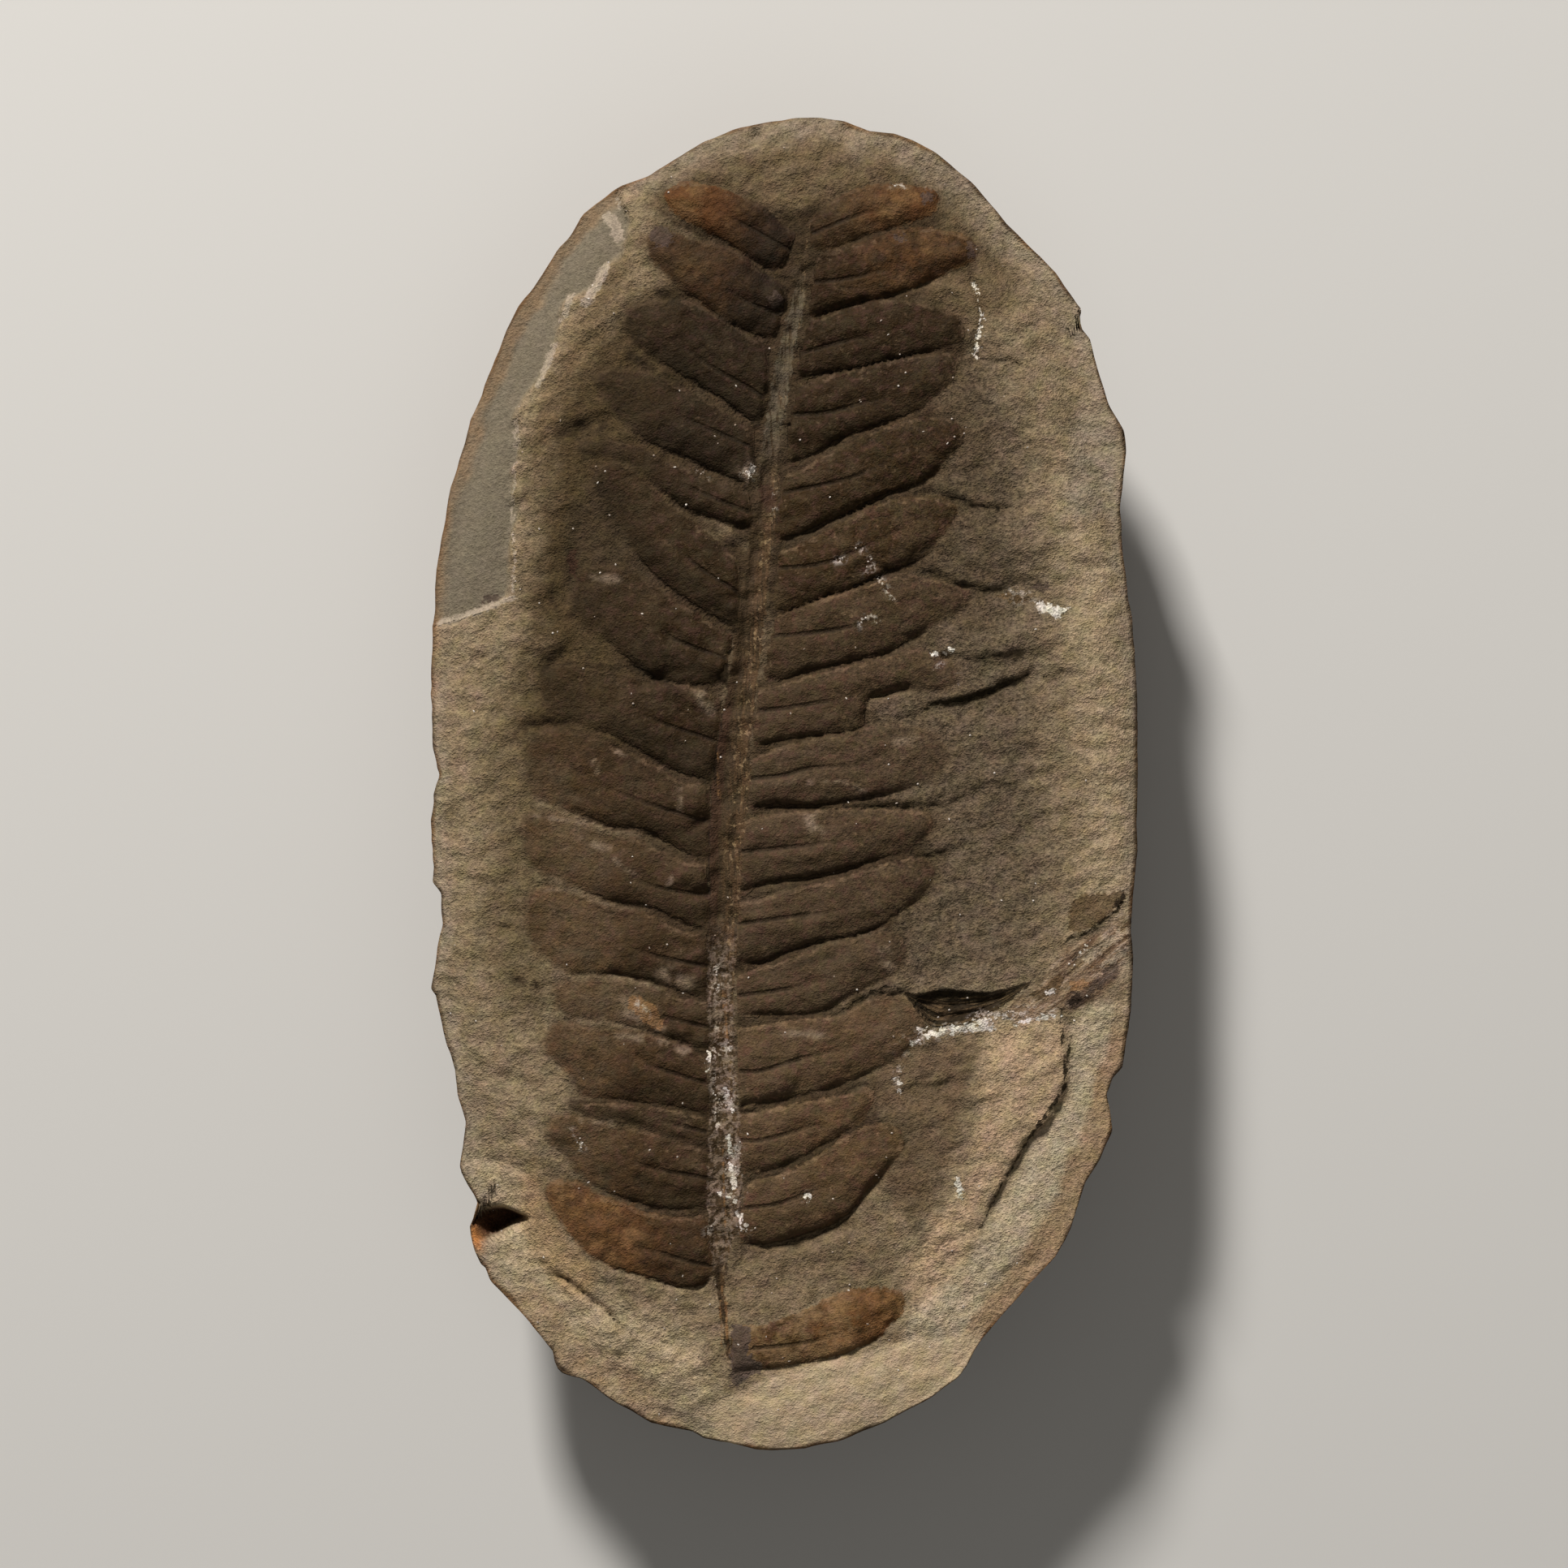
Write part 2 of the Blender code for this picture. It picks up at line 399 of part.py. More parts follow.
def siderite():
    """The stone's own colour: a dull tan brown."""
    material = bpy.data.materials.new("siderite")
    material.use_nodes = True
    surface = material.node_tree.nodes["Principled BSDF"]
    surface.inputs["Base Color"].default_value = (0.20, 0.155, 0.105, 1)
    surface.inputs["Roughness"].default_value = 0.9
    surface.inputs["Metallic"].default_value = 0.0
    return material


def main():
    """Makes the stone, breaks its rim, raises the fern on it, and turns it into metres."""
    made, tools = start_scene()
    nodule = stone(made)
    top = SPLIT_HEIGHT + CUT_ABOVE
    for name, (plan, floor) in SPALLS.items():
        apply_boolean(nodule, prism(name, plan, floor, top, tools), "DIFFERENCE")
    apply_boolean(nodule, prism("corner", CORNER, SPLIT_HEIGHT - CORNER_DEPTH, top, tools), "DIFFERENCE")
    for name, (upper, lower, rib, tip) in PINNULES.items():
        apply_boolean(nodule, leaf_solid(name, upper, lower, rib, tip, tools), "UNION")
    apply_boolean(nodule, stalk_cutter(tools), "DIFFERENCE")
    hollow = prism("fibre_hollow", FIBRE_HOLLOW, SPLIT_HEIGHT - FIBRE_DEPTH, top, tools)
    apply_boolean(nodule, hollow, "DIFFERENCE")
    for name, (line, width, depth) in SPLITS.items():
        apply_boolean(nodule, split_cutter(name, line, width, depth, tools), "DIFFERENCE")
    nodule.data.materials.clear()
    nodule.data.materials.append(siderite())
    nodule.data.shade_smooth()
    nodule.data.set_sharp_from_angle(angle=SHARP_ANGLE)
    for drawn in [nodule, *tools.objects]:
        drawn.data.transform(Matrix.Scale(MM, 4))


main()
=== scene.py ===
# %% [markdown]
# # A fern frond in a split ironstone nodule
#
# The real object is a lump of ironstone that formed in mud round a fallen fern frond. Split along the
# frond, it opens like a book. This script dresses one half: a tan, sandy split face with the frond in
# low, dark relief, and a rough, rusty rind on the sides and the back. The solid model is loaded first,
# because every size and place below starts from it.

# %% Load the solid model
import math

import bmesh
import bpy
import numpy as np
from mathutils import Matrix, Vector
from mathutils.bvhtree import BVHTree


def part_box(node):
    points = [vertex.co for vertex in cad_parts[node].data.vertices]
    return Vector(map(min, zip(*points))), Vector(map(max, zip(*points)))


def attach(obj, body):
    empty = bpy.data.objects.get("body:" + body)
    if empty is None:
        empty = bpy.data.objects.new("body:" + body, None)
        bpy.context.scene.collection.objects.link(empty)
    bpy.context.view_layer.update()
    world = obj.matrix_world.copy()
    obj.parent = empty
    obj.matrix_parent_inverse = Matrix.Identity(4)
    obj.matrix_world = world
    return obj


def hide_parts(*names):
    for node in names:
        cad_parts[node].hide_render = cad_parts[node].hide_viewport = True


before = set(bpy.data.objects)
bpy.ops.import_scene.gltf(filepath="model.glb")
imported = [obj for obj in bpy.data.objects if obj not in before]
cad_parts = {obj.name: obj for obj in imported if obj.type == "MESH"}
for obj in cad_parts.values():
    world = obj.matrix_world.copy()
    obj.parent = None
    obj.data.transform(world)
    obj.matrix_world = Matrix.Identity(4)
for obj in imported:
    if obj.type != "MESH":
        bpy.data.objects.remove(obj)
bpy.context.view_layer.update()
MM = 0.001
low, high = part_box("nodule_half")
HALF_WIDTH = (high.x - low.x) / 2 / MM
HALF_LENGTH = (high.y - low.y) / 2 / MM
print(f"The stone is {2 * HALF_WIDTH:.1f} by {2 * HALF_LENGTH:.1f} mm")


def in_scene(name, data):
    """A new object with that data, linked into the scene."""
    made = bpy.data.objects.new(name, data)
    bpy.context.scene.collection.objects.link(made)
    return made


# %% [markdown]
# ## Camera, light and table
#
# The photograph looks straight down on the stone, so the camera hangs over it, with a long lens that
# keeps the sides from showing. The relief is less than a millimetre high, and only light that rakes
# across it from beyond the frond's tip brings it out, as in the photograph. A second soft lamp and a
# pale world keep the shadows open.

# %% Camera
# The size of one pixel of the photograph on the stone, in millimetres, and the photograph's side.
PIXEL = 0.06679
PHOTO_SIDE = 1932
# The height of the split face's rim over the table.
SPLIT_HEIGHT = 15.0
# The lens and the sensor behind it, in millimetres.
LENS, SENSOR = 120.0, 36.0

camera_data = bpy.data.cameras.new("camera")
camera_data.lens = LENS
camera_data.sensor_width = SENSOR
camera_data.clip_start = 0.01
camera = in_scene("camera", camera_data)
distance = PIXEL * PHOTO_SIDE * LENS / SENSOR
camera.location = (0, 0, (SPLIT_HEIGHT + distance) * MM)
bpy.context.scene.camera = camera
print(f"The camera is {distance:.0f} mm above the split face")

# %% Lamps and world


def soft_lamp(name, azimuth, elevation, reach, side, watts, colour):
    """A square lamp that looks at the stone from a compass angle, clockwise from +Y, and a height angle."""
    data = bpy.data.lights.new(name, "AREA")
    data.shape = "SQUARE"
    data.size = side
    data.energy = watts
    data.color = colour
    turn, lift = math.radians(azimuth), math.radians(elevation)
    place = Vector((math.sin(turn) * math.cos(lift), math.cos(turn) * math.cos(lift), math.sin(lift)))
    lamp = in_scene(name, data)
    lamp.location = place * reach
    lamp.rotation_euler = place.to_track_quat("Z", "Y").to_euler()


soft_lamp("key_light", azimuth=-20, elevation=33, reach=0.9, side=0.14, watts=12.0, colour=(1.0, 0.97, 0.93))
soft_lamp("fill_light", azimuth=150, elevation=60, reach=0.9, side=0.7, watts=0.7, colour=(1.0, 0.98, 0.94))
world = bpy.data.worlds.new("studio")
world.use_nodes = True
sky = world.node_tree.nodes["Background"].inputs
sky["Color"].default_value = (1.0, 0.97, 0.91, 1)
sky["Strength"].default_value = 0.11
bpy.context.scene.world = world
bpy.context.scene.view_settings.view_transform = "Standard"
print("A key lamp, a fill lamp and a pale world light the stone")

# %% Table top
TABLE_SIDE = 3.0

table_mesh = bpy.data.meshes.new("table_top")
corners = [(-1, -1), (1, -1), (1, 1), (-1, 1)]
table_mesh.from_pydata([(x * TABLE_SIDE / 2, y * TABLE_SIDE / 2, 0) for x, y in corners], [], [(0, 1, 2, 3)])
table_top = in_scene("table_top", table_mesh)
pale = bpy.data.materials.new("pale_table")
pale.use_nodes = True
for name, value in (("Base Color", (0.62, 0.61, 0.59, 1)), ("Roughness", 1.0), ("Specular IOR Level", 0.0)):
    pale.node_tree.nodes["Principled BSDF"].inputs[name].default_value = value
table_mesh.materials.append(pale)
print(f"The table top is {TABLE_SIDE:.0f} m wide")

# %% [markdown]
# ## Lines and patches to measure from
#
# The relief is written as heights over the plan of the stone. Each feature, such as a crack or the
# stalk, is a short list of points in millimetres, with +Y towards the frond's tip. These
# helpers round such a line off, and tell every point of the stone how far away the line is and on
# which side. That is the usual way to carve with numbers: distance in, depth out.

# %% Helpers for lines and regions
# The distance given to points that are out of a line's reach.
FAR = 1e3


def smooth_line(points, per_span=8):
    """A dense, rounded line through hand-read points."""
    knots = np.array(points, float)
    padded = np.vstack([2 * knots[0] - knots[1], knots, 2 * knots[-1] - knots[-2]])
    t = np.linspace(0, 1, per_span, endpoint=False)[:, None]
    spans = []
    for a, b, c, d in zip(padded[:-3], padded[1:-2], padded[2:-1], padded[3:]):
        curve = 2 * b + (c - a) * t + (2 * a - 5 * b + 4 * c - d) * t**2 + (3 * b - a - 3 * c + d) * t**3
        spans.append(curve / 2)
    return np.vstack(spans + [knots[-1:]])


def from_line(x, y, points, reach):
    """Distance to a line, positive on its left, and the share of its length, for points within reach."""
    line = smooth_line(points)
    signed, share = np.full(x.shape, FAR), np.zeros(x.shape)
    least, most = line.min(axis=0) - reach, line.max(axis=0) + reach
    near = np.flatnonzero((x > least[0]) & (x < most[0]) & (y > least[1]) & (y < most[1]))
    px, py = x[near], y[near]
    closest, side, along = np.full(len(near), FAR), np.ones(len(near)), np.zeros(len(near))
    steps = np.diff(line, axis=0)
    lengths = np.hypot(*steps.T)
    run = np.concatenate([[0], np.cumsum(lengths)])
    for start, step, length, so_far in zip(line[:-1], steps, lengths, run):
        dx, dy = px - start[0], py - start[1]
        t = np.clip((dx * step[0] + dy * step[1]) / length**2, 0, 1)
        gap = np.hypot(dx - t * step[0], dy - t * step[1])
        closer = gap < closest
        closest[closer] = gap[closer]
        side[closer] = np.where(step[0] * dy - step[1] * dx > 0, 1, -1)[closer]
        along[closer] = (so_far + t * length)[closer]
    signed[near] = closest * side
    share[near] = along / run[-1]
    return signed, share


def ease(low_edge, high_edge, value):
    """0 below the low edge, 1 above the high edge, and a soft turn between them."""
    t = np.clip((value - low_edge) / (high_edge - low_edge), 0, 1)
    return t * t * (3 - 2 * t)


def depth_in(x, y, points, reach):
    """How many millimetres each point lies inside a closed outline: less than 0 outside it."""
    ring = smooth_line(list(points) + [points[0]])
    odd = np.zeros(x.shape, bool)
    for (ax, ay), (bx, by) in zip(ring[:-1], ring[1:]):
        spans = (ay > y) != (by > y)
        if ay != by:
            odd ^= spans & (x < (bx - ax) * (y - ay) / (by - ay) + ax)
    away = np.abs(from_line(x, y, list(points) + [points[0]], reach)[0])
    return np.where(odd, away, -away)


def inside(x, y, points, soft):
    """1 inside a closed outline and 0 outside, with an edge that is `soft` millimetres wide."""
    return ease(-soft / 2, soft / 2, depth_in(x, y, points, soft))


# %% [markdown]
# ## Natural unevenness
#
# Stone is never flat or even. A grid of random numbers, blended smoothly between its knots, gives
# gentle bumps of one size. Three such layers, each finer and turned against the last so that no grid
# shows, look like a broken surface. The seed is fixed, so the stone is the same each time.

# %% Random bumps
# The side of a grid of random numbers, and the turn from one layer to the next, in degrees.
KNOTS, LAYER_TURN = 128, 37


def bumps(x, y, size, seed):
    """Smooth random heights from -1 to 1, with a knot every `size` millimetres."""
    knots = np.random.default_rng(seed).uniform(-1, 1, (KNOTS, KNOTS))
    gx, gy = x / size, y / size
    ix, iy = np.floor(gx).astype(int), np.floor(gy).astype(int)
    fx, fy = gx - ix, gy - iy
    fx, fy = fx * fx * (3 - 2 * fx), fy * fy * (3 - 2 * fy)
    left, right, below, above = ix % KNOTS, (ix + 1) % KNOTS, iy % KNOTS, (iy + 1) % KNOTS
    near = knots[left, below] * (1 - fx) + knots[right, below] * fx
    far = knots[left, above] * (1 - fx) + knots[right, above] * fx
    return near * (1 - fy) + far * fy


def rough(x, y, size, seed, layers=3):
    """Several layers of bumps, each half the size and height of the one before."""
    total = np.zeros(np.shape(x))
    for layer in range(layers):
        turn = math.radians(LAYER_TURN * layer)
        tx = x * math.cos(turn) - y * math.sin(turn)
        ty = x * math.sin(turn) + y * math.cos(turn)
        total += bumps(tx, ty, size / 2**layer, seed + layer) / 2**layer
    return total


# %% [markdown]
# ## The fern, as read from the photograph
#
# A pecopteris frond has a straight stalk with pinnules, the small leaf lobes, set close on both sides
# like the teeth of a comb. Each is written as its outline and its midrib. The listed points keep each one
# different, as on the real frond, where some are folded, torn or pushed over their neighbours.

# %% Stalk and pinnules
# The stalk: x, y and half width, from the tip down.
STALK = [(2, 46, 0.12), (1.7, 43.5, 0.18), (1.4, 41, 0.38), (0.8, 38, 0.62), (0.2, 35.5, 0.66),
         (-0.4, 32, 0.7), (-1, 28, 0.72), (-1.3, 24, 0.8), (-2.2, 18, 1), (-2.9, 12, 1.1), (-3.6, 7, 1.2),
         (-4.2, 3, 1.35), (-4.35, 0, 1.6), (-4.8, -5, 1.35), (-4.9, -10, 1.28), (-5.2, -16, 1.1),
         (-5.1, -22, 1), (-4.9, -28, 1.3), (-4.9, -34, 1.45), (-5.2, -38, 0.9), (-5.2, -41.5, 0.25),
         (-4.6, -47, 0.14)]
# Each pinnule: its outline from the stalk along the upper edge, round the tip and back, and its midrib.
PINNULES = {
    "right_1": (
        [(2, 46.3), (4, 48), (6, 49), (8.8, 49.4), (11.2, 49.2), (12.5, 48.9), (12.7, 48.1), (12.5, 47.4),
         (12, 46.8), (9, 45.8), (7, 45.2), (4.5, 44.2), (2.6, 43.9)],
        [(2.3, 45.2), (6.5, 46.9), (11, 48)],
    ),
    "right_2": (
        [(2.8, 43.4), (5, 44.2), (7, 44.8), (9, 45.5), (10.5, 45.8), (12.5, 45.7), (15, 45.1), (15.8, 44.2),
         (15.7, 43.2), (15, 42.7), (14, 42.3), (12, 41.4), (10, 40.6), (8, 40), (6, 39.6), (4, 38.8),
         (2.2, 38.4)],
        [(2, 41.2), (5, 41.5), (8, 42.2), (12, 43.6)],
    ),
    "right_3": (
        [(2.2, 38.2), (4.2, 39), (6, 39.6), (8, 39.9), (10, 39.8), (12, 39.4), (14, 38.6), (14.9, 37.4),
         (14.7, 36.5), (13.8, 36), (12, 35.6), (10, 35.2), (8, 34.7), (6, 34.2), (4, 33.9), (1.2, 33.4)],
        [(0.8, 35.2), (5, 36.4), (9, 37.2), (12, 37.9)],
    ),
    "right_4": (
        [(1, 32.8), (2.8, 33.1), (4, 33.7), (6, 34.1), (8, 34.6), (10, 35), (12, 35.5), (13.8, 35.4),
         (14.4, 34.6), (14.1, 33.6), (13.2, 32.5), (12, 31.5), (11, 30.7), (9, 29.9), (7, 29.2),
         (5.5, 28.7), (4, 28), (2.5, 27.1), (0.4, 26.3)],
        [(0.8, 30.3), (3.5, 30.5), (6.5, 31.3), (10, 32.3), (13, 33.9)],
    ),
    "right_5": (
        [(0.1, 25.5), (1.5, 25.9), (3, 26.8), (4.5, 27.6), (6, 28.4), (8, 29.2), (10, 29.9), (12, 30.2),
         (13.7, 30), (14.8, 29), (14.7, 28.2), (14, 27.3), (13.2, 26.6), (12.5, 25.6), (11, 24.6), (9, 24),
         (8, 23.6), (6, 22.6), (5, 22.2), (3.3, 21.4), (0.6, 20.3), (-0.6, 20.1)],
        [(-0.2, 23.9), (5, 25), (8, 26.3), (12, 27.6)],
    ),
    "right_6": (
        [(-0.3, 19.2), (1, 19.6), (2.5, 20.3), (5, 21.7), (7, 22.7), (9, 23.4), (12, 23.7), (13.3, 23.5),
         (14.1, 22.7), (14, 21.8), (13.3, 20.8), (12.3, 19.6), (11.5, 18.6), (10.3, 17.9), (9, 17.6),
         (8, 17.2), (6, 16.2), (4.5, 15.7), (3, 15.3), (0.8, 14.3), (-0.6, 14.2)],
        [(-0.6, 17.7), (2, 17.9), (4, 18.3), (5.5, 18.9), (9, 20.6), (12, 22)],
    ),
    "right_7": (
        [(-0.5, 14), (0.3, 14.2), (3, 15.2), (6, 16.1), (8, 16.8), (10, 17.1), (12, 16.9), (13.5, 16.5),
         (15, 16.1), (15.4, 15.6), (14.8, 14.6), (14, 14), (12, 12.9), (10, 11.6), (8.5, 10.8), (6, 10.2),
         (2, 9.3), (0, 8.6), (-1.5, 8.6)],
        [(-1, 12.1), (1.5, 12.3), (5, 12.8), (9, 13.9), (13, 15)],
    ),
    "right_8": (
        [(-2, 7.8), (0, 8.3), (1.5, 8.8), (4, 9.4), (6, 9.9), (8, 10.3), (10, 11.1), (12, 10.9),
         (13.6, 10.2), (14.3, 9.2), (14, 8.4), (13, 7.8), (10, 7.7), (7.5, 7.3), (6.8, 6.8), (6.6, 5.5),
         (6.3, 4.5), (4, 4.1), (2, 3.9), (0, 3.6), (-2.4, 3.1)],
        [(-2.3, 6), (0, 6.2), (3, 6.7), (6, 7.3), (10, 8.6)],
    ),
    "right_9": (
        [(-2.6, 2), (-1, 2.8), (0, 3.1), (1.5, 3.5), (3, 3.9), (5, 4.2), (7, 4.7), (10, 4.9), (12, 4.4),
         (13.3, 3.2), (13.5, 2), (12.7, 1.1), (12, 0.5), (11, 0), (9, -0.7), (7, -1.1), (5, -1.4),
         (2, -1.8), (-1, -1.7), (-3, -2)],
        [(-2.9, 0.4), (0, 0.7), (1.7, 1.2), (6, 1.7), (11, 2.6)],
    ),
    "right_10": (
        [(-3.6, -3.3), (-2.5, -2.8), (-1, -2.5), (1, -2.2), (4, -2), (8, -2), (10.5, -2.1), (12, -2.5),
         (12.3, -3.2), (11.8, -4.2), (11, -5), (10, -5.6), (8, -6.1), (6, -6.7), (4, -7.3), (2, -7.7),
         (0, -7.9), (-2, -8.3), (-3.6, -8.9)],
        [(-3.4, -5.6), (-0.5, -5.3), (4, -4.8), (8, -3.8)],
    ),
    "right_11": (
        [(-3.8, -9.8), (-2, -9.4), (0, -8.8), (2, -8.3), (4, -7.9), (6, -7.3), (8, -6.6), (10, -6.1),
         (11.5, -6.1), (12.4, -6.9), (12.2, -8), (11.5, -9), (10.3, -10), (9, -10.9), (8, -11.6),
         (6, -12.4), (4, -12.8), (2, -13.2), (0, -13.9), (-1.5, -14.5), (-3.5, -14.9)],
        [(-3.5, -11.5), (0.6, -10.9), (3, -10.6), (6, -10), (9, -8.8)],
    ),
    "right_12": (
        [(-3.7, -15.6), (-2.3, -15.2), (-1, -14.8), (1, -14.2), (3, -13.4), (5, -12.9), (7, -12.4),
         (9, -12.1), (9.8, -12.6), (10.1, -13.6), (9.8, -14.6), (9.2, -15.4), (8.5, -15.9), (7, -16.6),
         (5, -17.6), (3.5, -18.6), (1.5, -18.9), (-0.5, -18.9), (-3.5, -19)],
        [(-3.7, -17.4), (0, -16.9), (3, -16.2), (5, -15.6)],
    ),
    "right_13": (
        [(-3.7, -20.1), (0, -19.5), (4.4, -19), (6, -18.2), (8, -17.3), (9.5, -17.4), (11, -18.2),
         (11.6, -19.6), (11.2, -20.6), (10, -21.9), (9, -22.7), (7.5, -23.4), (6, -24.1), (4, -24.9),
         (2, -25.4), (0.5, -25.8), (-1.5, -26.1), (-3.5, -26.4)],
        [(-4, -23.6), (-2, -23.6), (0, -23), (2, -22.4), (6, -21.4), (9, -20.4)],
    ),
    "right_14": (
        [(-3.6, -27.2), (-1, -26.7), (1, -26.2), (3, -25.9), (5, -25.5), (7, -25), (7.4, -25.8),
         (6.8, -27.2), (6, -28), (4.5, -29), (3, -29.7), (2, -30.3), (0, -31.3), (-1.5, -31.8),
         (-3.3, -31.9)],
        [(-3.6, -29.3), (-2, -29.3), (0, -28.8), (2, -28.2), (4, -27.6), (6, -26.8)],
    ),
    "right_15": (
        [(-3, -32.9), (-1, -32.2), (1, -31.5), (3, -30.3), (5, -29), (6.5, -28.2), (8, -27.9), (9.2, -28.2),
         (9.9, -29.3), (9.5, -30.5), (8.5, -31.8), (7, -33.4), (6, -34.7), (5, -35.6), (3.5, -36.5),
         (1.5, -37.2), (0, -37.6), (-2, -37.9), (-3.6, -37.5)],
        [(-3.6, -34.9), (-1, -34.6), (1, -34), (3, -33.3), (5, -32.5), (7, -31.5)],
    ),
    "right_16": (
        [(-4.2, -44.4), (-2, -44.5), (0, -43.9), (2, -43.1), (4, -42.1), (5.5, -41.6), (7.5, -41.4),
         (9.3, -41.6), (10, -42.5), (9.6, -43.7), (8.7, -44.6), (8, -45.4), (6, -46.5), (4, -47.2),
         (2, -47.6), (0, -48), (-2, -48.2), (-4, -48.4)],
        [(-2.5, -46.4), (0, -46.2), (2, -45.9), (4, -45.4), (5.5, -44.7), (7.5, -44.3)],
    ),
    "left_1": (
        [(1, 45.3), (0, 46), (-2, 47.7), (-4, 48.6), (-6, 49.3), (-8, 49.6), (-9, 49.3), (-9.8, 48.6),
         (-9.7, 47.9), (-9.2, 47.2), (-8, 46.3), (-6, 45.3), (-4, 44.1), (-2, 42.7), (-0.6, 42.3)],
        [(0.2, 44), (-4.5, 46.6), (-8, 47.9)],
    ),
    "left_2": (
        [(0.3, 40.7), (0, 41), (-2, 42.4), (-4, 43.9), (-6, 44.5), (-8.8, 45.3), (-9.8, 45.9),
         (-10.8, 45.5), (-11.3, 44.6), (-10.9, 43.2), (-9.8, 42), (-8, 40.4), (-6, 38.9), (-4.5, 37.9),
         (-2.5, 37), (-1, 36.6)],
        [(-0.2, 38.6), (-3, 39.6), (-7, 42.2)],
    ),
    "left_3": (
        [(-1.2, 35.9), (-2.5, 36.7), (-4.2, 37.7), (-6, 38.9), (-8, 39.8), (-10.5, 39.8), (-12, 39.5),
         (-13, 38.9), (-13.3, 37.9), (-12.8, 36.8), (-12, 36), (-10, 34.6), (-8, 33.4), (-6, 32.2),
         (-4, 30.8), (-3, 30), (-2, 29.7)],
        [(-1.5, 31.6), (-3, 32.6), (-6, 34.3), (-8, 35.8), (-12, 38)],
    ),
    "left_4": (
        [(-2.4, 29), (-5, 30.7), (-7, 31.9), (-9, 33), (-11, 33.8), (-13, 34.2), (-15, 34), (-15.6, 33.2),
         (-15.1, 32.2), (-14, 30.5), (-12.5, 29.1), (-11, 28), (-9, 27.2), (-7, 26.3), (-4.5, 25.2),
         (-3, 24.6)],
        [(-3, 27.8), (-8, 30), (-12, 32)],
    ),
    "left_5": (
        [(-3, 23.9), (-6.5, 25.4), (-9.8, 26.7), (-12, 27.8), (-14, 28.2), (-16.3, 28.2), (-16.8, 27.5),
         (-16, 26.9), (-14.5, 26.7), (-12.5, 26), (-10.8, 24.7), (-8.5, 22.9), (-6.5, 22), (-4, 21.2),
         (-2.7, 20.9)],
        [(-3, 22.4), (-7, 24), (-12, 26.6)],
    ),
    "left_6": (
        [(-3.7, 18.4), (-6, 20.4), (-8.5, 22.4), (-10.5, 24.3), (-12, 25.9), (-13.5, 26.5), (-15.3, 26.2),
         (-15.7, 25.2), (-15.2, 23.8), (-14, 22.2), (-12.8, 19.8), (-11, 17.6), (-9, 15.8), (-7, 14.4),
         (-5, 13.3), (-3.9, 13)],
        [(-3.9, 15.8), (-7.5, 18.2), (-12, 22.6)],
    ),
    "left_7": (
        [(-4.2, 12.3), (-6, 13.3), (-8, 14.6), (-10, 15.9), (-12, 17.2), (-13.5, 17.8), (-15.5, 18),
         (-16.8, 17.6), (-17.3, 16.4), (-17.3, 14.6), (-16.5, 12.9), (-14.5, 11.7), (-12.5, 9.9),
         (-10.5, 8.7), (-8, 8.1), (-5.6, 8.2)],
        [(-4.8, 10.3), (-9, 11.9), (-13.5, 14.7)],
    ),
    "left_8": (
        [(-5.2, 6.9), (-7, 7.9), (-8.5, 8.2), (-10, 8.4), (-12, 8.9), (-14, 9.3), (-16, 9.5), (-18, 9.9),
         (-19.5, 9.5), (-20.1, 8.3), (-19.8, 6.8), (-18.8, 5.5), (-16, 4.6), (-14, 4), (-12.5, 3.2),
         (-10, 1.6), (-7.5, 0.6), (-6, 0.3)],
        [(-5.8, 3.6), (-10, 5), (-15, 7.2)],
    ),
    "left_9": (
        [(-6.2, 0), (-8.5, 0.2), (-10, 1.3), (-12, 2.2), (-13.8, 2.9), (-15, 3.6), (-17, 4.2), (-19, 4.7),
         (-20.5, 4.1), (-21.2, 2.6), (-21.2, 0.6), (-20.5, -0.9), (-18, -2), (-16, -2.8), (-14, -3.5),
         (-12, -3.7), (-10, -4.6), (-8, -5.7), (-6.3, -6.1)],
        [(-6.3, -3), (-8.5, -2.5), (-14, -0.5), (-19, 2)],
    ),
    "left_10": (
        [(-6.4, -6.5), (-8, -6.3), (-10, -5.6), (-12, -4.5), (-14, -4.1), (-16, -3.4), (-18, -2.7),
         (-20.3, -2.2), (-21.4, -2.9), (-21.6, -4.5), (-20.7, -6.8), (-18, -8), (-16, -9), (-13.5, -9.8),
         (-11.5, -10), (-9.5, -10.8), (-7.5, -11.8), (-6.3, -11.9)],
        [(-6.3, -9.2), (-11, -8.3), (-16, -6)],
    ),
    "left_11": (
        [(-6.3, -12.3), (-8.5, -12), (-10, -11.2), (-12, -10.3), (-14, -10.1), (-16, -9.4), (-17.5, -8.8),
         (-19.5, -8.4), (-20.8, -8.8), (-21.3, -10), (-21.1, -12), (-20, -14), (-17.8, -15.5),
         (-16.2, -15.6), (-14, -15.6), (-11, -16.2), (-8, -17.2), (-6.3, -17.5)],
        [(-6.3, -15), (-11, -14), (-16, -12.2)],
    ),
    "left_12": (
        [(-6.2, -17.9), (-8.5, -17.5), (-10, -16.9), (-12, -16.3), (-14, -16), (-16.5, -15.9),
         (-18.3, -16.1), (-19.1, -17.2), (-18.6, -18.5), (-17, -19.3), (-14, -19.6), (-12, -20.2),
         (-9, -21), (-6.4, -21.9)],
        [(-6.3, -20), (-12, -18.6)],
    ),
    "left_13": (
        [(-6.5, -22.5), (-8, -21.6), (-10, -20.8), (-12.5, -20.3), (-16, -20), (-18.6, -19.6),
         (-19.7, -20.9), (-19.6, -22), (-18.8, -22.8), (-17.6, -23.9), (-16.8, -25.6), (-14, -25.9),
         (-10, -26.4), (-6.4, -27.1)],
        [(-6.4, -24.6), (-10.5, -23.3), (-12, -22.5), (-15, -21.6)],
    ),
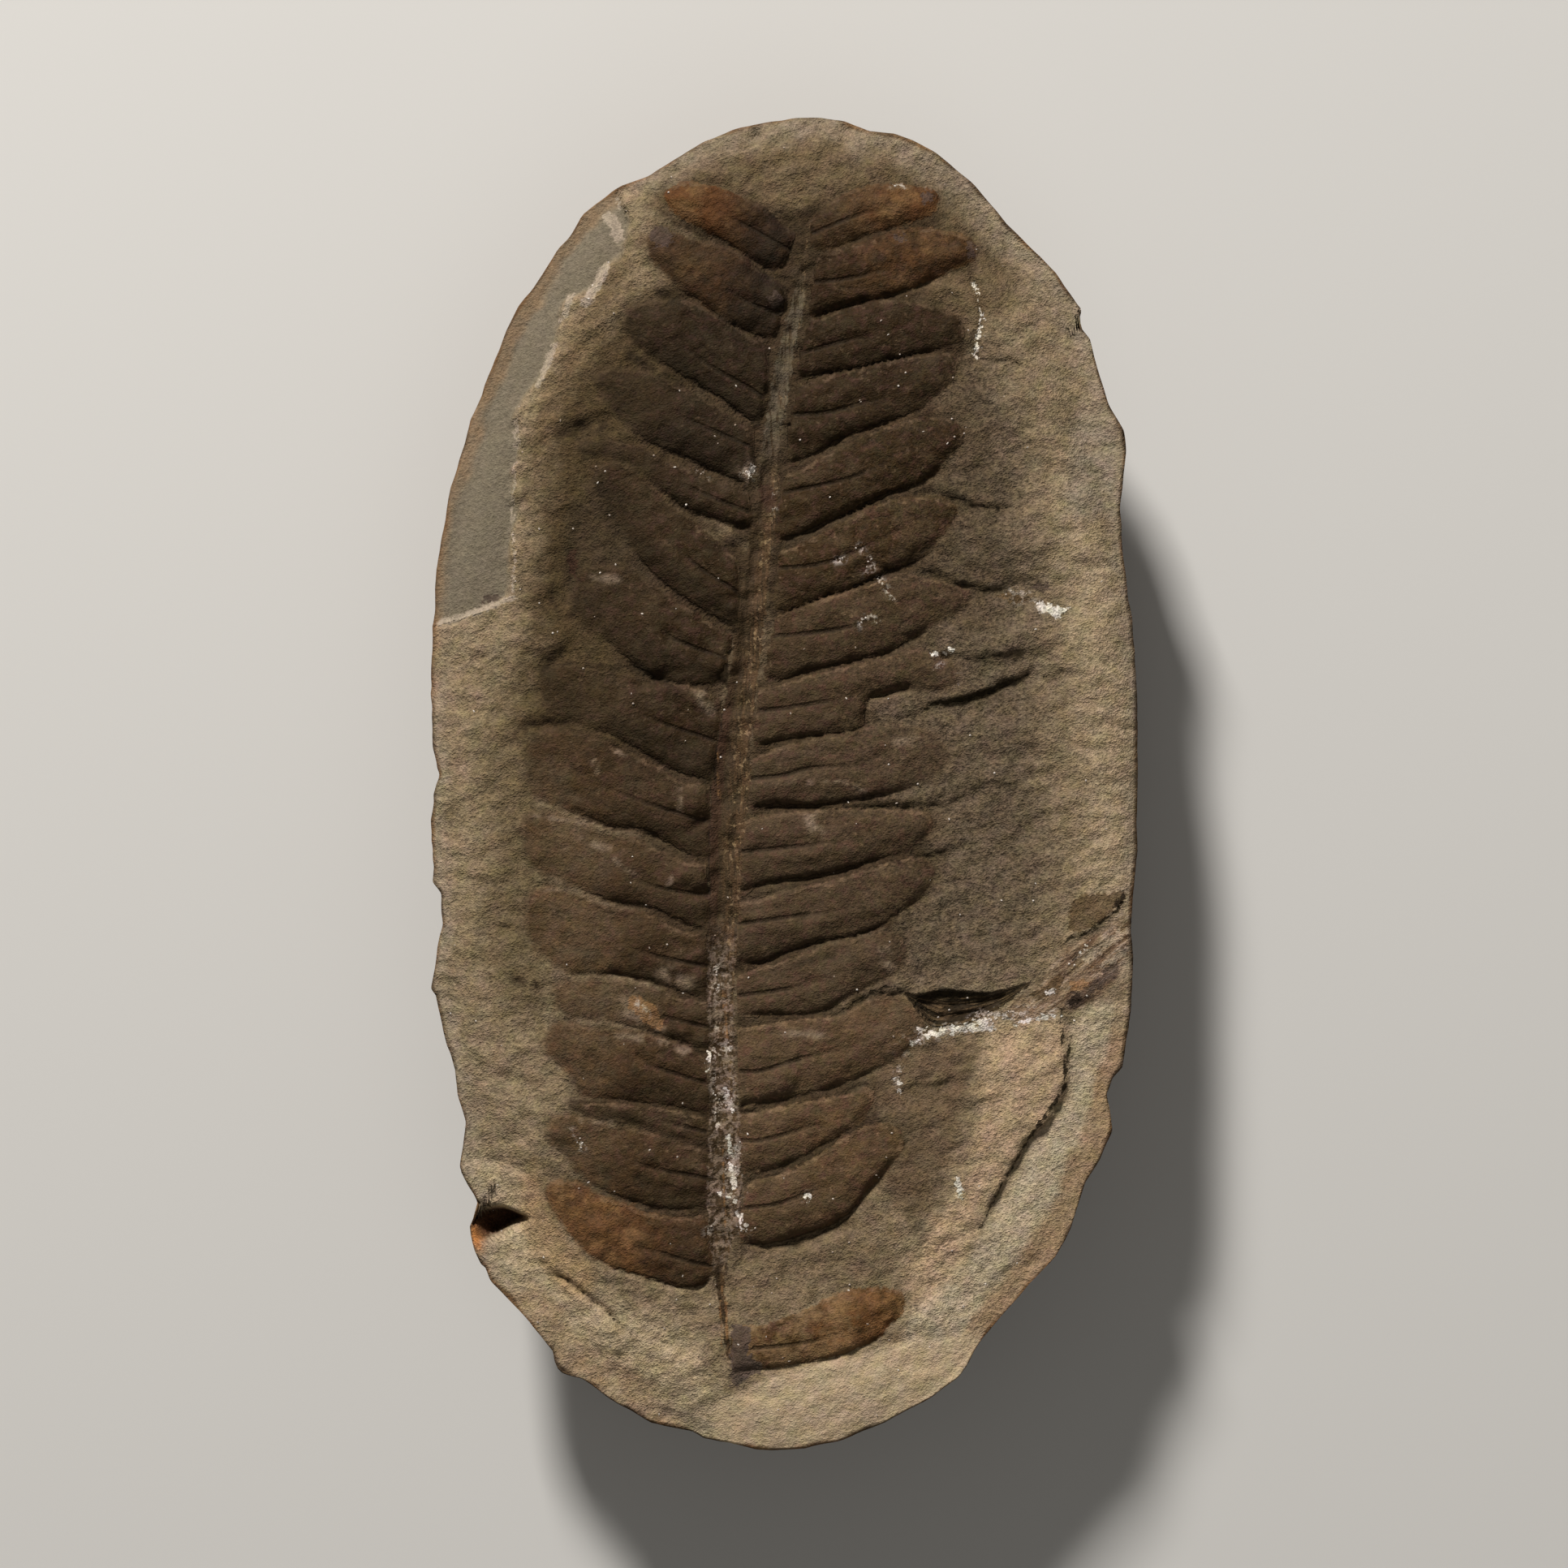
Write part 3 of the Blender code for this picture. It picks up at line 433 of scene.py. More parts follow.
    "left_13_fold": (
        [(-6.4, -27.4), (-10, -26.6), (-14, -26.2), (-16.7, -26.3), (-16.6, -27), (-14, -27.6), (-12, -28),
         (-10, -28.5), (-8.3, -29.2), (-6.4, -29.8)],
        [(-6.4, -28.6), (-11, -27.5)],
    ),
    "left_14": (
        [(-6.3, -30.1), (-8, -29.6), (-10, -28.9), (-12, -28.3), (-14, -28), (-16, -27.5), (-17.5, -27.2),
         (-19, -27.5), (-19.7, -28.5), (-19.2, -29.6), (-18, -30.6), (-17, -32), (-15.5, -33), (-14, -33.8),
         (-12, -34.4), (-10.5, -34.9), (-8.5, -35), (-6.4, -34.8)],
        [(-6.3, -32.4), (-11, -31.5), (-15.5, -29.8)],
    ),
    "left_15": (
        [(-6.3, -35.4), (-9, -35.6), (-11.5, -35.2), (-13, -34.5), (-15, -33.9), (-16.5, -33), (-18, -32.6),
         (-19.3, -32.9), (-19.7, -33.8), (-19.1, -35), (-18, -36.5), (-17, -37.8), (-15.5, -39),
         (-14, -39.8), (-12, -40.4), (-10, -41), (-8, -41.5), (-6.5, -41.1), (-5.9, -40.3)],
        [(-6.3, -39.6), (-8, -39.2), (-10, -38.6), (-12.5, -37.9), (-15, -36.4)],
    ),
}
NAMES = list(PINNULES)
print(f"The frond has {len(PINNULES)} pinnules")

# %% [markdown]
# ## A place on its pinnule for every point
#
# To shape a pinnule, each point of the stone needs to know how far inside the outline it lies, and where
# it is along and beside the midrib. Where two pinnules touch, the border runs halfway between their
# outlines, which leaves the fine line that is seen between them on the real frond.

# %% Pinnule places
# The depth of a point that is near no pinnule, and how far round each pinnule is looked, in millimetres.
NOWHERE = -50.0
MARGIN, EDGE_REACH, RIB_REACH = 3.2, 8, 12


def pinnule_places(x, y):
    """For each point: its pinnule, mm inside the outline, share round the outline, mm off the midrib and
    share of its length, and mm inside the next nearest pinnule (less than 0 outside)."""
    count = len(x)
    best, second = np.full(count, NOWHERE), np.full(count, NOWHERE)
    leaf, round_share = np.zeros(count, int), np.zeros(count)
    off_rib, rib_share = np.full(count, FAR), np.zeros(count)
    for number, (outline, rib) in enumerate(PINNULES.values()):
        ring = np.array(outline)
        least, most = ring.min(axis=0) - MARGIN, ring.max(axis=0) + MARGIN
        near = np.flatnonzero((x > least[0]) & (x < most[0]) & (y > least[1]) & (y < most[1]))
        px, py = x[near], y[near]
        d, share = from_line(px, py, outline, EDGE_REACH)
        within = inside(px, py, outline, 0.02) > 0.5
        base = np.abs(from_line(px, py, [outline[-1], outline[0]], EDGE_REACH)[0])
        depth = np.where(within, np.abs(d), -np.minimum(np.abs(d), base))
        closer = depth > best[near]
        second[near] = np.where(closer, best[near], np.maximum(second[near], depth))
        chosen = near[closer]
        best[chosen], leaf[chosen], round_share[chosen] = depth[closer], number, share[closer]
        away, along = from_line(px[closer], py[closer], rib, RIB_REACH)
        off_rib[chosen], rib_share[chosen] = away, along
    depth = np.minimum(best, np.where(best > 0, (best - second) / 2, best))
    return leaf, depth, round_share, off_rib, rib_share, second


# %% [markdown]
# ## The split face before the fern
#
# The nodule broke along the frond in one sweep, so the face is nearly flat, a little crowned, and rolls
# over at the rim. It follows the same rule as the solid model. Broad swells and hollows are placed where
# the photograph's shading shows them.

# %% Split face
# How high the face is crowned, how deep its rim rolls over and from which share of the way out, and how
# much less it rolls at the lower right.
FACE_CROWN, EDGE_ROLL, ROLL_START, FLAT_SHARE = 0.7, 1.0, 0.88, 0.75
FACE_SPAN = (29.2, 55.0)
# Each swell: middle, half sizes, turn in degrees, and height.
SWELLS = [(-16.6, 29.3, 2.2, 0.9, 12, -0.5), (-17.4, 17.6, 0.5, 2.4, 0, -0.4),
          (-19, 10.2, 1.2, 0.6, 30, -0.35), (-19.4, 4.8, 2.4, 0.5, 5, -0.3), (18.5, 20, 4.5, 2.4, 10, 0.45),
          (19.5, 12.2, 4, 1.4, 12, 0.4), (17, -7, 5.5, 4.5, 20, -0.35), (16.5, 30, 5, 4, 35, 0.35),
          (14, -27.5, 5, 3, 25, 0.3), (-22.5, -24.3, 0.9, 0.6, 30, -0.4), (-23.7, -31.3, 0.8, 0.5, 0, -0.4),
          (-22, -31.6, 0.6, 0.5, 0, -0.3), (-2.3, 53.3, 0.7, 0.5, 0, -0.7), (2, -40.5, 6, 2.6, 0, -0.25),
          (-14.5, 41.2, 1.2, 0.8, 50, -0.15), (-12, 22, 3, 4, -30, -0.2), (13.2, 10.3, 0.6, 0.5, 0, -0.5),
          (-14, -45.5, 5, 2, 35, 0.3), (24.5, 5, 2.5, 9, 0, 0.25), (7, 13.2, 0.9, 0.8, 0, 0.15),
          (10.8, 18.9, 1.8, 0.6, 35, -0.3)]
# The round leaf bases beside the stalk, and the dark pockets below some of them.
LEAF_BASES = [(-0.9, 40.3, 0.9, 0.9, 0, 0.45), (-5.2, 10, 1.1, 1, 20, 0.5), (-7, 7.2, 0.9, 0.7, 0, 0.3),
              (-7.3, -1.2, 1, 1.5, 0, 0.45), (-8, -7.4, 1.4, 1, 20, 0.4), (-0.5, 38.9, 0.9, 0.4, 20, -0.12),
              (-4.7, 8.8, 1, 0.4, 30, -0.3), (-6, 5.6, 0.9, 0.4, 30, -0.25),
              (-6.8, -3.3, 0.9, 0.5, 30, -0.3), (-6.5, -8.9, 1.1, 0.4, 10, -0.3),
              (-4, 15.3, 0.9, 0.4, 0, -0.25), (-3.5, 21.2, 0.9, 0.4, 0, -0.25),
              (-10.2, 8.8, 2, 0.5, 20, -0.4), (1, -2, 2.2, 0.4, -3, -0.2), (3.5, -7.5, 3.5, 0.4, 12, -0.2),
              (5, 22.2, 2.4, 0.45, 24, -0.3), (12.4, 25.3, 0.9, 0.5, 40, -0.35),
              (5.8, 39.4, 3, 0.4, 12, -0.35), (11.8, 35.5, 0.8, 0.35, 0, -0.35),
              (2.5, -37.2, 3, 0.6, 18, -0.55), (7.6, -32.8, 2.4, 0.5, 52, -0.35)]


def face_height(x, y):
    """Height of the smooth split face: a low crown that rolls over at the rim."""
    share = np.minimum(np.hypot(x / FACE_SPAN[0], y / FACE_SPAN[1]), 1)
    roll = np.maximum(share - ROLL_START, 0) / (1 - ROLL_START)
    turn = np.degrees(np.arctan2(y, x))
    flat = FLAT_SHARE * ease(-84, -68, turn) * ease(-6, -24, turn)
    return SPLIT_HEIGHT + FACE_CROWN * (1 - share**2) - EDGE_ROLL * (1 - flat) * roll**2


def swell_height(x, y):
    """The hand-placed swells and hollows, each a soft round bump."""
    total = np.zeros(x.shape)
    for cx, cy, rx, ry, turn, height in SWELLS + LEAF_BASES:
        c, s = math.cos(math.radians(turn)), math.sin(math.radians(turn))
        across = ((x - cx) * c + (y - cy) * s) / rx
        along = (-(x - cx) * s + (y - cy) * c) / ry
        total += height * np.exp(-(across**2) - along**2)
    return total


# %% [markdown]
# ## Scarps, cracks and the spalled edge
#
# Under raking light a step in the stone shows as a dark line where it drops away from the lamp, and a
# bright one where it faces it. A scarp here has a high side that eases back over a few millimetres
# and a low side that does the same, so it ends in nothing, as a fold of shale does. A crack is only
# a narrow groove.

# %% Scarps and cracks
# Each scarp: its line with the high side on the right, the height and reach of the high side, and the same
# for the low side.
SCARPS = [
    ([(20.6, 9.6), (18.3, 8.5), (16.5, 7.5), (13, 6.8), (10.6, 5.9)], 0.65, 2.4, 0.5, 1.6),
    ([(23.4, 9.6), (21.2, 8.9)], 0.25, 1, 0.2, 0.8),
    ([(19.6, 22.8), (17, 22.8), (15, 23.4), (13, 24), (11.6, 24)], 0.3, 1.5, 0.45, 1.2),
    ([(19.2, 16.7), (17, 16.2), (15, 16.3), (13.3, 17), (11, 17.8)], 0.3, 1.4, 0.45, 1.2),
    ([(19.7, 11), (17.5, 10.7), (15.5, 10.4), (13.6, 10.6)], 0.22, 1.2, 0.35, 1.1),
    ([(15, -1.1), (12, -1.6), (8, -1.7), (2, -1.9)], 0.25, 1, 0.45, 0.9),
    ([(19.6, 0.7), (17.8, 0.2), (15.8, 0.1), (14.4, -0.3)], 0.2, 0.9, 0.25, 0.8),
    ([(15.2, -4.6), (12.6, -5.5), (10, -6)], 0.2, 0.9, 0.3, 0.8),
    ([(20.2, 34.3), (18, 35.1), (16, 34.8)], 0.2, 1, 0.3, 1),
    ([(15.2, -23.5), (13.5, -24.2), (12, -24.7), (9.4, -25)], 0.15, 0.8, 0.3, 0.8),
    ([(18.2, -25.8), (14.5, -26.2), (11.8, -25.7)], 0.15, 0.8, 0.3, 0.8),
    ([(12.2, -36.9), (11, -36.5), (9.8, -36.7)], 0.15, 0.6, 0.2, 0.6),
    ([(-14.2, 29.2), (-16.3, 28.7), (-18.6, 28)], 0.2, 1, -0.25, 0.9),
    ([(11.2, -18.3), (9.8, -17.1), (7.4, -17.3), (5.6, -18), (4, -19)], 0.3, 1, 0.35, 0.8),
    ([(22.8, -13.4), (23.7, -12.6), (25, -12.2), (26.9, -10.8), (28.2, -9.4)][::-1], 0.25, 1.2, 0.2, 1),
]
# Two cracks that are also dark lines.
LOW_CRACK = [(-18.4, -40.6), (-17, -41.5), (-16, -42.4), (-14.5, -43.6), (-13.2, -44.9)]
NICK = [(6.7, 7), (6.8, 5.8), (6.4, 4.4)]
# Each crack: its line, width and depth.
CRACKS = [
    ([(15.5, 42.2), (15.7, 41.2), (16.2, 39.6), (16.4, 38), (15.9, 36.4), (15.9, 34.9)], 0.22, 0.35),
    (LOW_CRACK, 0.3, 0.4), ([(6.2, 21.3), (6.1, 20), (6.6, 19), (7.4, 18), (8.2, 17.7)], 0.25, 0.3),
    (NICK, 0.2, 0.12), ([(7.2, 7.2), (8.6, 7.4), (10.2, 7.9)], 0.25, 0.4),
    ([(11.9, -20.2), (14, -21.4), (17, -22)], 0.2, 0.2),
]
# The share of the written heights that is built, how far a scarp and a crack wander off their line, and
# how wide the turn from a scarp's high side to its low one is.
SCARP_SHARE, SCARP_WANDER, CRACK_WANDER, SCARP_TURN = 0.62, 0.22, 0.15, 0.32
# The distance stored where no line is near.
NO_LINE = 2.0


def scarp_height(x, y):
    """All scarps and cracks together, how strongly each point lies in the dark foot of one, where shade is
    painted, and how far it is from the crack there."""
    total, foot, core = np.zeros(x.shape), np.zeros(x.shape), np.full(x.shape, NO_LINE)
    for line, up, up_reach, down, down_reach in SCARPS:
        d, share = from_line(x, y, line, 4 * max(up_reach, down_reach))
        d = SCARP_WANDER * rough(x, y, 1.1, 41) - d
        taper = np.sqrt(np.clip(np.sin(np.pi * np.clip(share, 0.03, 0.97)), 0, 1))
        lift = up * np.exp(-np.maximum(d, 0) / up_reach)
        drop = -down * np.exp(-np.maximum(-d, 0) / down_reach)
        blend = ease(-SCARP_TURN, SCARP_TURN, d)
        near = np.abs(d) < FAR / 2
        total += SCARP_SHARE * np.where(near, taper * (lift * blend + drop * (1 - blend)), 0)
        # The dark foot, where shade is painted, lies just below the edge, and the open line at the edge,
        # painted dark as shade, is wider where it drops more.
        width = 0.25 + 0.45 * (up + down)
        darkness = min(1, 0.45 + up) * taper**2 * np.exp(-(((d + 0.4 * width) / width) ** 2))
        foot = np.maximum(foot, np.where(near, darkness, 0))
        core = np.minimum(core, np.where(near, np.abs(d + 0.12) + 0.1 - 0.45 * up * taper, NO_LINE))
    for line, width, depth in CRACKS:
        d, share = from_line(x, y, line, 4 * width)
        d = d + CRACK_WANDER * rough(x, y, 0.9, 43)
        cut = np.exp(-((d / width) ** 2))
        total -= depth * cut
        foot = np.maximum(foot, 1.1 * depth * cut)
    return total, foot, core


# %% Spalled edge, notch and hollow
# Every edge and outline is in millimetres, and with it how deep the stone drops there and how far the drop
# reaches before it eases out again.
LEDGE_EDGE = [(-14, 50.6), (-13.2, 48.2), (-13.1, 45.2), (-15.3, 41.2), (-17.7, 39.5), (-18.3, 38.2),
              (-18.7, 35.8), (-20.3, 33.2), (-21.7, 29.8), (-22.2, 25), (-22.3, 21.1), (-22.3, 15.9),
              (-23.2, 15), (-26.3, 13.8), (-30.5, 12.6)]
LEDGE_DROP, LEDGE_REACH = 0.85, 9
LOWER_EDGE = [(29.5, -17.4), (26.5, -17.2), (23.8, -18.2), (23.1, -21), (23.1, -24.6), (22, -27.3),
              (20, -29.6), (18, -33), (17, -34.8), (15.8, -37.2)]
LOWER_DROP, LOWER_REACH = 0.5, 3.0
NOTCH = [(-21.4, -35.8), (-23.2, -35.1), (-24.8, -35.2), (-27.2, -35.3), (-27.4, -37.4), (-25.2, -37.8)]
NOTCH_DEPTH = 3.2
NOTCH_LIP, LIP_DEPTH = [(-26.6, -36.0), (-26.0, -36.8), (-25.2, -38.2)], 0.5
# The outline of the stone beside the notch.
NOTCH_RIM = [(-26.7, -32), (-26.2, -33), (-25.6, -34.2), (-25.2, -35), (-26.05, -36.35), (-25.8, -37.7),
             (-25.5, -38.6), (-25, -39.7)]
FIBRE_HOLLOW = [(9.6, -16.95), (11, -17.2), (12.9, -16.85), (15, -16.95), (16.7, -17.05), (18.6, -16.7),
                (20.4, -16.2), (19.2, -17.3), (18, -18.2), (16.8, -18.9), (15.2, -19.6), (13.5, -20),
                (12.3, -20), (11.4, -19.3), (10.6, -18.2)]
FIBRE_DEPTH = 0.5
# How many mesh waves of fibre lie side by side in the hollow, and how high they are.
FIBRE_WAVES, FIBRE_RISE = 3.5, 0.14
PALE_BREAK = [(-5.5, -51), (-2, -49.2), (0, -48.4), (3, -47.8), (6, -47), (8.7, -46.2), (12, -45.6),
              (16.5, -46), (10, -54.5), (0, -57), (-6, -56)]


def ledge_share(x, y):
    """1 on the spalled ledge at the frond's upper left, 0 on the face inside it, and the distance from it."""
    d, _ = from_line(x, y, LEDGE_EDGE, 40)
    d = np.where(np.abs(d) < FAR / 2, d, 1) + 0.35 * rough(x, y, 1.6, 51) + 0.5 * bumps(x, y, 4.5, 52)
    return ease(-0.25, 0.35, -d), d


def lower_share(x, y):
    """1 on the sunk rim at the lower right, 0 on the face inside it, and the distance from its edge."""
    d, share = from_line(x, y, LOWER_EDGE, 14)
    d = d + 0.14 * rough(x, y, 1.2, 53)
    strength = ease(0.12, 0.4, share) * ease(1.0, 0.9, share)
    return np.where(d > FAR / 2, 0, strength * ease(-0.25, 0.25, d)), d


def line_gap(x, y, lines):
    """How far each point is outside the nearest of several lines with a half width."""
    gap = np.full(x.shape, NO_LINE)
    for line, half in lines:
        gap = np.minimum(gap, np.abs(from_line(x, y, line, half + NO_LINE)[0]) - half)
    return gap


def fibre_place(x, y):
    """Each point's share of the way from the upper to the lower edge of the fibre hollow, and along it."""
    above, along = from_line(x, y, FIBRE_HOLLOW[:7], 6)
    below, _ = from_line(x, y, FIBRE_HOLLOW[6:] + FIBRE_HOLLOW[:1], 6)
    return np.abs(above) / (np.abs(above) + np.abs(below) + 1e-6), along


def break_height(x, y):
    """How deep the ledge, the sunk rim at the lower right, the notch and the fibre hollow lie."""
    ledge, from_edge = ledge_share(x, y)
    total = -LEDGE_DROP * ledge * np.exp(-np.maximum(-from_edge, 0) / LEDGE_REACH)
    lower, from_edge = lower_share(x, y)
    total -= LOWER_DROP * lower * np.exp(-np.maximum(from_edge, 0) / LOWER_REACH)
    from_lip = np.abs(from_line(x, y, NOTCH_LIP, 6)[0])
    notch_floor = LIP_DEPTH + (NOTCH_DEPTH - LIP_DEPTH) * ease(0.6, 2.0, from_lip)
    total -= notch_floor * inside(x, y, NOTCH, 0.7)
    hollow = ease(0.0, 0.8, depth_in(x, y, FIBRE_HOLLOW, 1.0)) * ease(20.6, 17.0, x)
    across, _ = fibre_place(x, y)
    return total - hollow * (FIBRE_DEPTH - FIBRE_RISE * np.cos(2 * np.pi * FIBRE_WAVES * across))


# %% [markdown]
# ## The frond's relief
#
# Pressing has left each pinnule as a low pillow, a third of a millimetre high, with a thin lip round it
# and its midrib sunk into it. Light that rakes down the frond brightens the upper half of a pillow and
# shades the lower one, so the pinnules look like shingles. A narrow crack runs under most lower edges,
# where the film came away when the nodule was split. Many tips on the left are worn flush with the stone.

# %% Frond relief
# Heights, depths and widths in millimetres.
RIGHT_RISE, LEFT_RISE = 0.34, 0.27
DOME_REACH = 2.4
PLEAT, DIMPLE, FLAKE, CHIP = 0.04, 0.10, 0.07, 0.06
# The share of its height that a fully worn tip has lost, and of height that the upper left pinnules gain.
WORN_LOSS, UPPER_GAIN = 0.75, 0.5
LIP_RISE, LIP_REACH = 0.06, 0.30
RIB_DEPTH, RIB_WIDTH = 0.16, 0.50
EDGE_DIP = 0.05
CRACK_DEPTH, CRACK_WIDTH = 0.24, 0.22
STALK_DEPTH, STRAND, STALK_FLAKE = 0.22, 0.08, 0.17
# How open the crack under each pinnule is: closed where a name is missing.
OPEN_EDGES = {
    "right_1": 0.35, "right_2": 0.7, "right_3": 1.2, "right_4": 0.8, "right_5": 1, "right_6": 1.1,
    "right_7": 0.7, "right_8": 0.7, "right_9": 0.9, "right_10": 0.9, "right_11": 0.9, "right_12": 0.6,
    "right_13": 0.4, "right_14": 0.5, "right_15": 0.9, "right_16": 0.5, "left_1": 0.5, "left_2": 0.8,
    "left_3": 0.7, "left_4": 0.6, "left_5": 0.4, "left_6": 0.6, "left_7": 0.6, "left_8": 0.6, "left_9": 0.6,
    "left_10": 0.5, "left_11": 0.4, "left_12": 0.4, "left_13": 0.4, "left_14": 0.5, "left_15": 0.6,
}
# How far each tip is worn flush with the stone.
WORN_TIPS = {
    "left_2": 0.3, "left_3": 0.5, "left_4": 0.8, "left_5": 0.8, "left_6": 0.8, "left_7": 0.8,
    "left_8": 0.85, "left_9": 0.8, "left_10": 0.7, "left_11": 0.7, "left_12": 0.8, "left_13": 0.6,
    "left_14": 0.6, "left_15": 0.3, "right_7": 0.4, "right_8": 0.4, "right_9": 0.7, "right_12": 0.3,
    "right_13": 0.5,
}
ON_RIGHT = np.array([name.startswith("right") for name in NAMES])


def leaf_values(table, leaf):
    """Each point's value from a table that names some pinnules."""
    return np.array([table.get(name, 0.0) for name in NAMES])[leaf]


def worn_share(leaf, rib_share):
    """How far each point's pinnule is worn away there: more towards some tips."""
    return leaf_values(WORN_TIPS, leaf) * ease(0.55, 1.0, rib_share)


def open_share(leaf, round_share):
    """How open the crack is at the nearest edge: only under the lower edges."""
    start = np.where(ON_RIGHT[leaf], 0.56, 0.62)
    low_edge = ease(start, start + 0.16, round_share) * ease(1.0, 0.97, round_share)
    return leaf_values(OPEN_EDGES, leaf) * low_edge


def below_rib(leaf, off_rib):
    """How far each point lies on the lower side of its pinnule's midrib, in millimetres."""
    return np.where(ON_RIGHT[leaf], -off_rib, off_rib)


def pinnule_height(x, y, leaf, depth, round_share, off_rib, rib_share):
    """The pillows of the pinnules, their sunk midribs and the cracks under them."""
    depth = depth + 0.07 * rough(x, y, 0.8, 63)
    t = np.clip(depth / DOME_REACH, 0, 1)
    kept = 1 - WORN_LOSS * worn_share(leaf, rib_share)
    rise = np.where(ON_RIGHT[leaf], RIGHT_RISE, LEFT_RISE * (1 + UPPER_GAIN * ease(5, 24, y)))
    side = np.clip(off_rib, -4, 4)
    rib = RIB_DEPTH * np.exp(-((side / RIB_WIDTH) ** 2)) * ease(0.95, 0.35, rib_share)
    pleats = PLEAT * bumps(side / 0.7 + 7 * leaf, rib_share * 2.5 + 11 * leaf, 1, 61)
    dimples = DIMPLE * bumps(side / 1.5 + 3 * leaf, rib_share * 6 + 5 * leaf, 1, 62)
    flakes = FLAKE * rough(x, y, 0.85, 64) + CHIP * np.round(1.5 * bumps(x, y, 1.9, 65))
    body = (rise + dimples) * t * (2 - t) + (pleats + flakes - rib) * ease(0.05, 0.6, depth)
    lip = LIP_RISE * ease(-0.05, LIP_REACH, depth)
    dip = EDGE_DIP * np.exp(-((depth / 0.35) ** 2))
    crack = CRACK_DEPTH * open_share(leaf, round_share) * np.exp(-(((depth + 0.08) / CRACK_WIDTH) ** 2))
    return kept * (body + lip - dip) - crack


def stalk_height(x, y):
    """The trough of the stalk with its strands, each point's share in it, its place across it from -1 to 1,
    and how many millimetres inside it is."""
    d, share = from_line(x, y, [(sx, sy) for sx, sy, _ in STALK], 4)
    run = np.concatenate([[0], np.cumsum(np.hypot(*np.diff([p[:2] for p in STALK], axis=0).T))])
    half = np.interp(share, run / run[-1], [p[2] for p in STALK])
    t = d / half
    trough = -STALK_DEPTH * np.clip(1 - t**2, 0, 1) * np.minimum(1, half / 0.9)
    strands = STRAND * np.cos(t * 8 + 1.6 * bumps(share * 60, t * 2, 3, 71)) * ease(1.1, 0.8, np.abs(t))
    flakes = STALK_FLAKE * rough(x, y, 1.1, 73) * ease(1.3, 0.8, np.abs(t))
    inward = np.where(np.abs(d) < FAR / 2, half - np.abs(d), -FAR)
    return trough + strands + flakes, ease(1.25, 0.9, np.abs(t)), t, inward


# %% [markdown]
# ## One closed mesh for the stone
#
# The face needs close, even points, because the relief is fine. A square grid bent into the shape of
# the rim gives that without a crowded middle, as rings would. Below the rim, rings of half as many
# points run down the side and under the back to the worn flat that the stone rests on.

# %% Rim, from the solid model
# The solid is probed at these heights in millimetres, and its widest reach at each angle is the rim.
RIM_LEVELS = (13.9, 13.6, 13.1, 12.4, 11.0, 10.3)
RIM_STEPS = 1440
RIM_CHIPS = 0.16
node_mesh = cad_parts["nodule_half"].data
solid = BVHTree.FromPolygons([v.co for v in node_mesh.vertices], [p.vertices for p in node_mesh.polygons])


def rim_radius(angle):
    """How far out the solid model reaches at a plan angle, in millimetres."""
    out = Vector((math.cos(angle), math.sin(angle), 0))
    reach = 0
    for level in RIM_LEVELS:
        hit = solid.ray_cast(out * 0.1 + Vector((0, 0, level * MM)), -out)[0]
        if hit:
            reach = max(reach, hit.xy.length / MM)
    return reach


rim_angles = np.linspace(0, 2 * math.pi, RIM_STEPS, endpoint=False)
rim_reach = np.array([rim_radius(angle) for angle in rim_angles])
notch_x, notch_y = np.array(NOTCH_RIM).T
notch_angle = np.mod(np.arctan2(notch_y, notch_x), 2 * math.pi)
at_notch = (rim_angles > notch_angle[0]) & (rim_angles < notch_angle[-1])
rim_reach[at_notch] = np.interp(rim_angles[at_notch], notch_angle, np.hypot(notch_x, notch_y))
chips = rough(rim_angles * 40 / math.pi, np.zeros(RIM_STEPS), 1.1, 81)
rim_reach = rim_reach - RIM_CHIPS * np.abs(chips) * np.sin(rim_angles / 2) ** 0.2
print(f"The rim reaches {rim_reach.min():.1f} to {rim_reach.max():.1f} mm from the middle")


def evened(values, steps):
    """Values round a ring, each replaced by the mean of its neighbours."""
    return np.mean([np.roll(values, step) for step in range(-steps, steps + 1)], axis=0)


def reach_at(angle, reach):
    """The rim's reach at any plan angles."""
    known_angles, known_reach = np.append(rim_angles, 2 * math.pi), np.append(reach, reach[0])
    return np.interp(np.mod(angle, 2 * math.pi), known_angles, known_reach)


# %% Face grid
COLUMNS, ROWS = 176, 470
# The gap between columns in the middle, where the frond is, as a share of an even gap.
MIDDLE_SHARE = 0.86


def face_grid():
    """Plan places of the face's points: a square grid bent to the rim."""
    u, v = np.meshgrid(np.linspace(-1, 1, COLUMNS + 1), np.linspace(-1, 1, ROWS + 1))
    u = MIDDLE_SHARE * u + (1 - MIDDLE_SHARE) * u**3
    disc_x, disc_y = u * np.sqrt(1 - v**2 / 2), v * np.sqrt(1 - u**2 / 2)
    share = np.hypot(disc_x, disc_y)
    x, y = disc_x * HALF_WIDTH, disc_y * HALF_LENGTH
    angle = np.arctan2(y, x)
    ellipse = np.hypot(x, y) / np.maximum(share, 1e-6)
    soft_fit = reach_at(angle, evened(rim_reach, 12)) / np.maximum(ellipse, 1e-6)
    fit = reach_at(angle, rim_reach) / np.maximum(ellipse, 1e-6)
    scale = 1 + (soft_fit - 1) * share**6 + (fit - soft_fit) * share**14
    return (x * scale).ravel(), (y * scale).ravel(), share.ravel()


face_x, face_y, face_share = face_grid()
print(f"The face has {len(face_x)} points")

# %% Heights of the face
# How much smoother than the bare stone the film, the ledge, the sunk rim and the pale break are.
FILM_CALM, LEDGE_CALM, LOWER_CALM, PALE_CALM = 0.45, 0.8, 0.55, 0.55
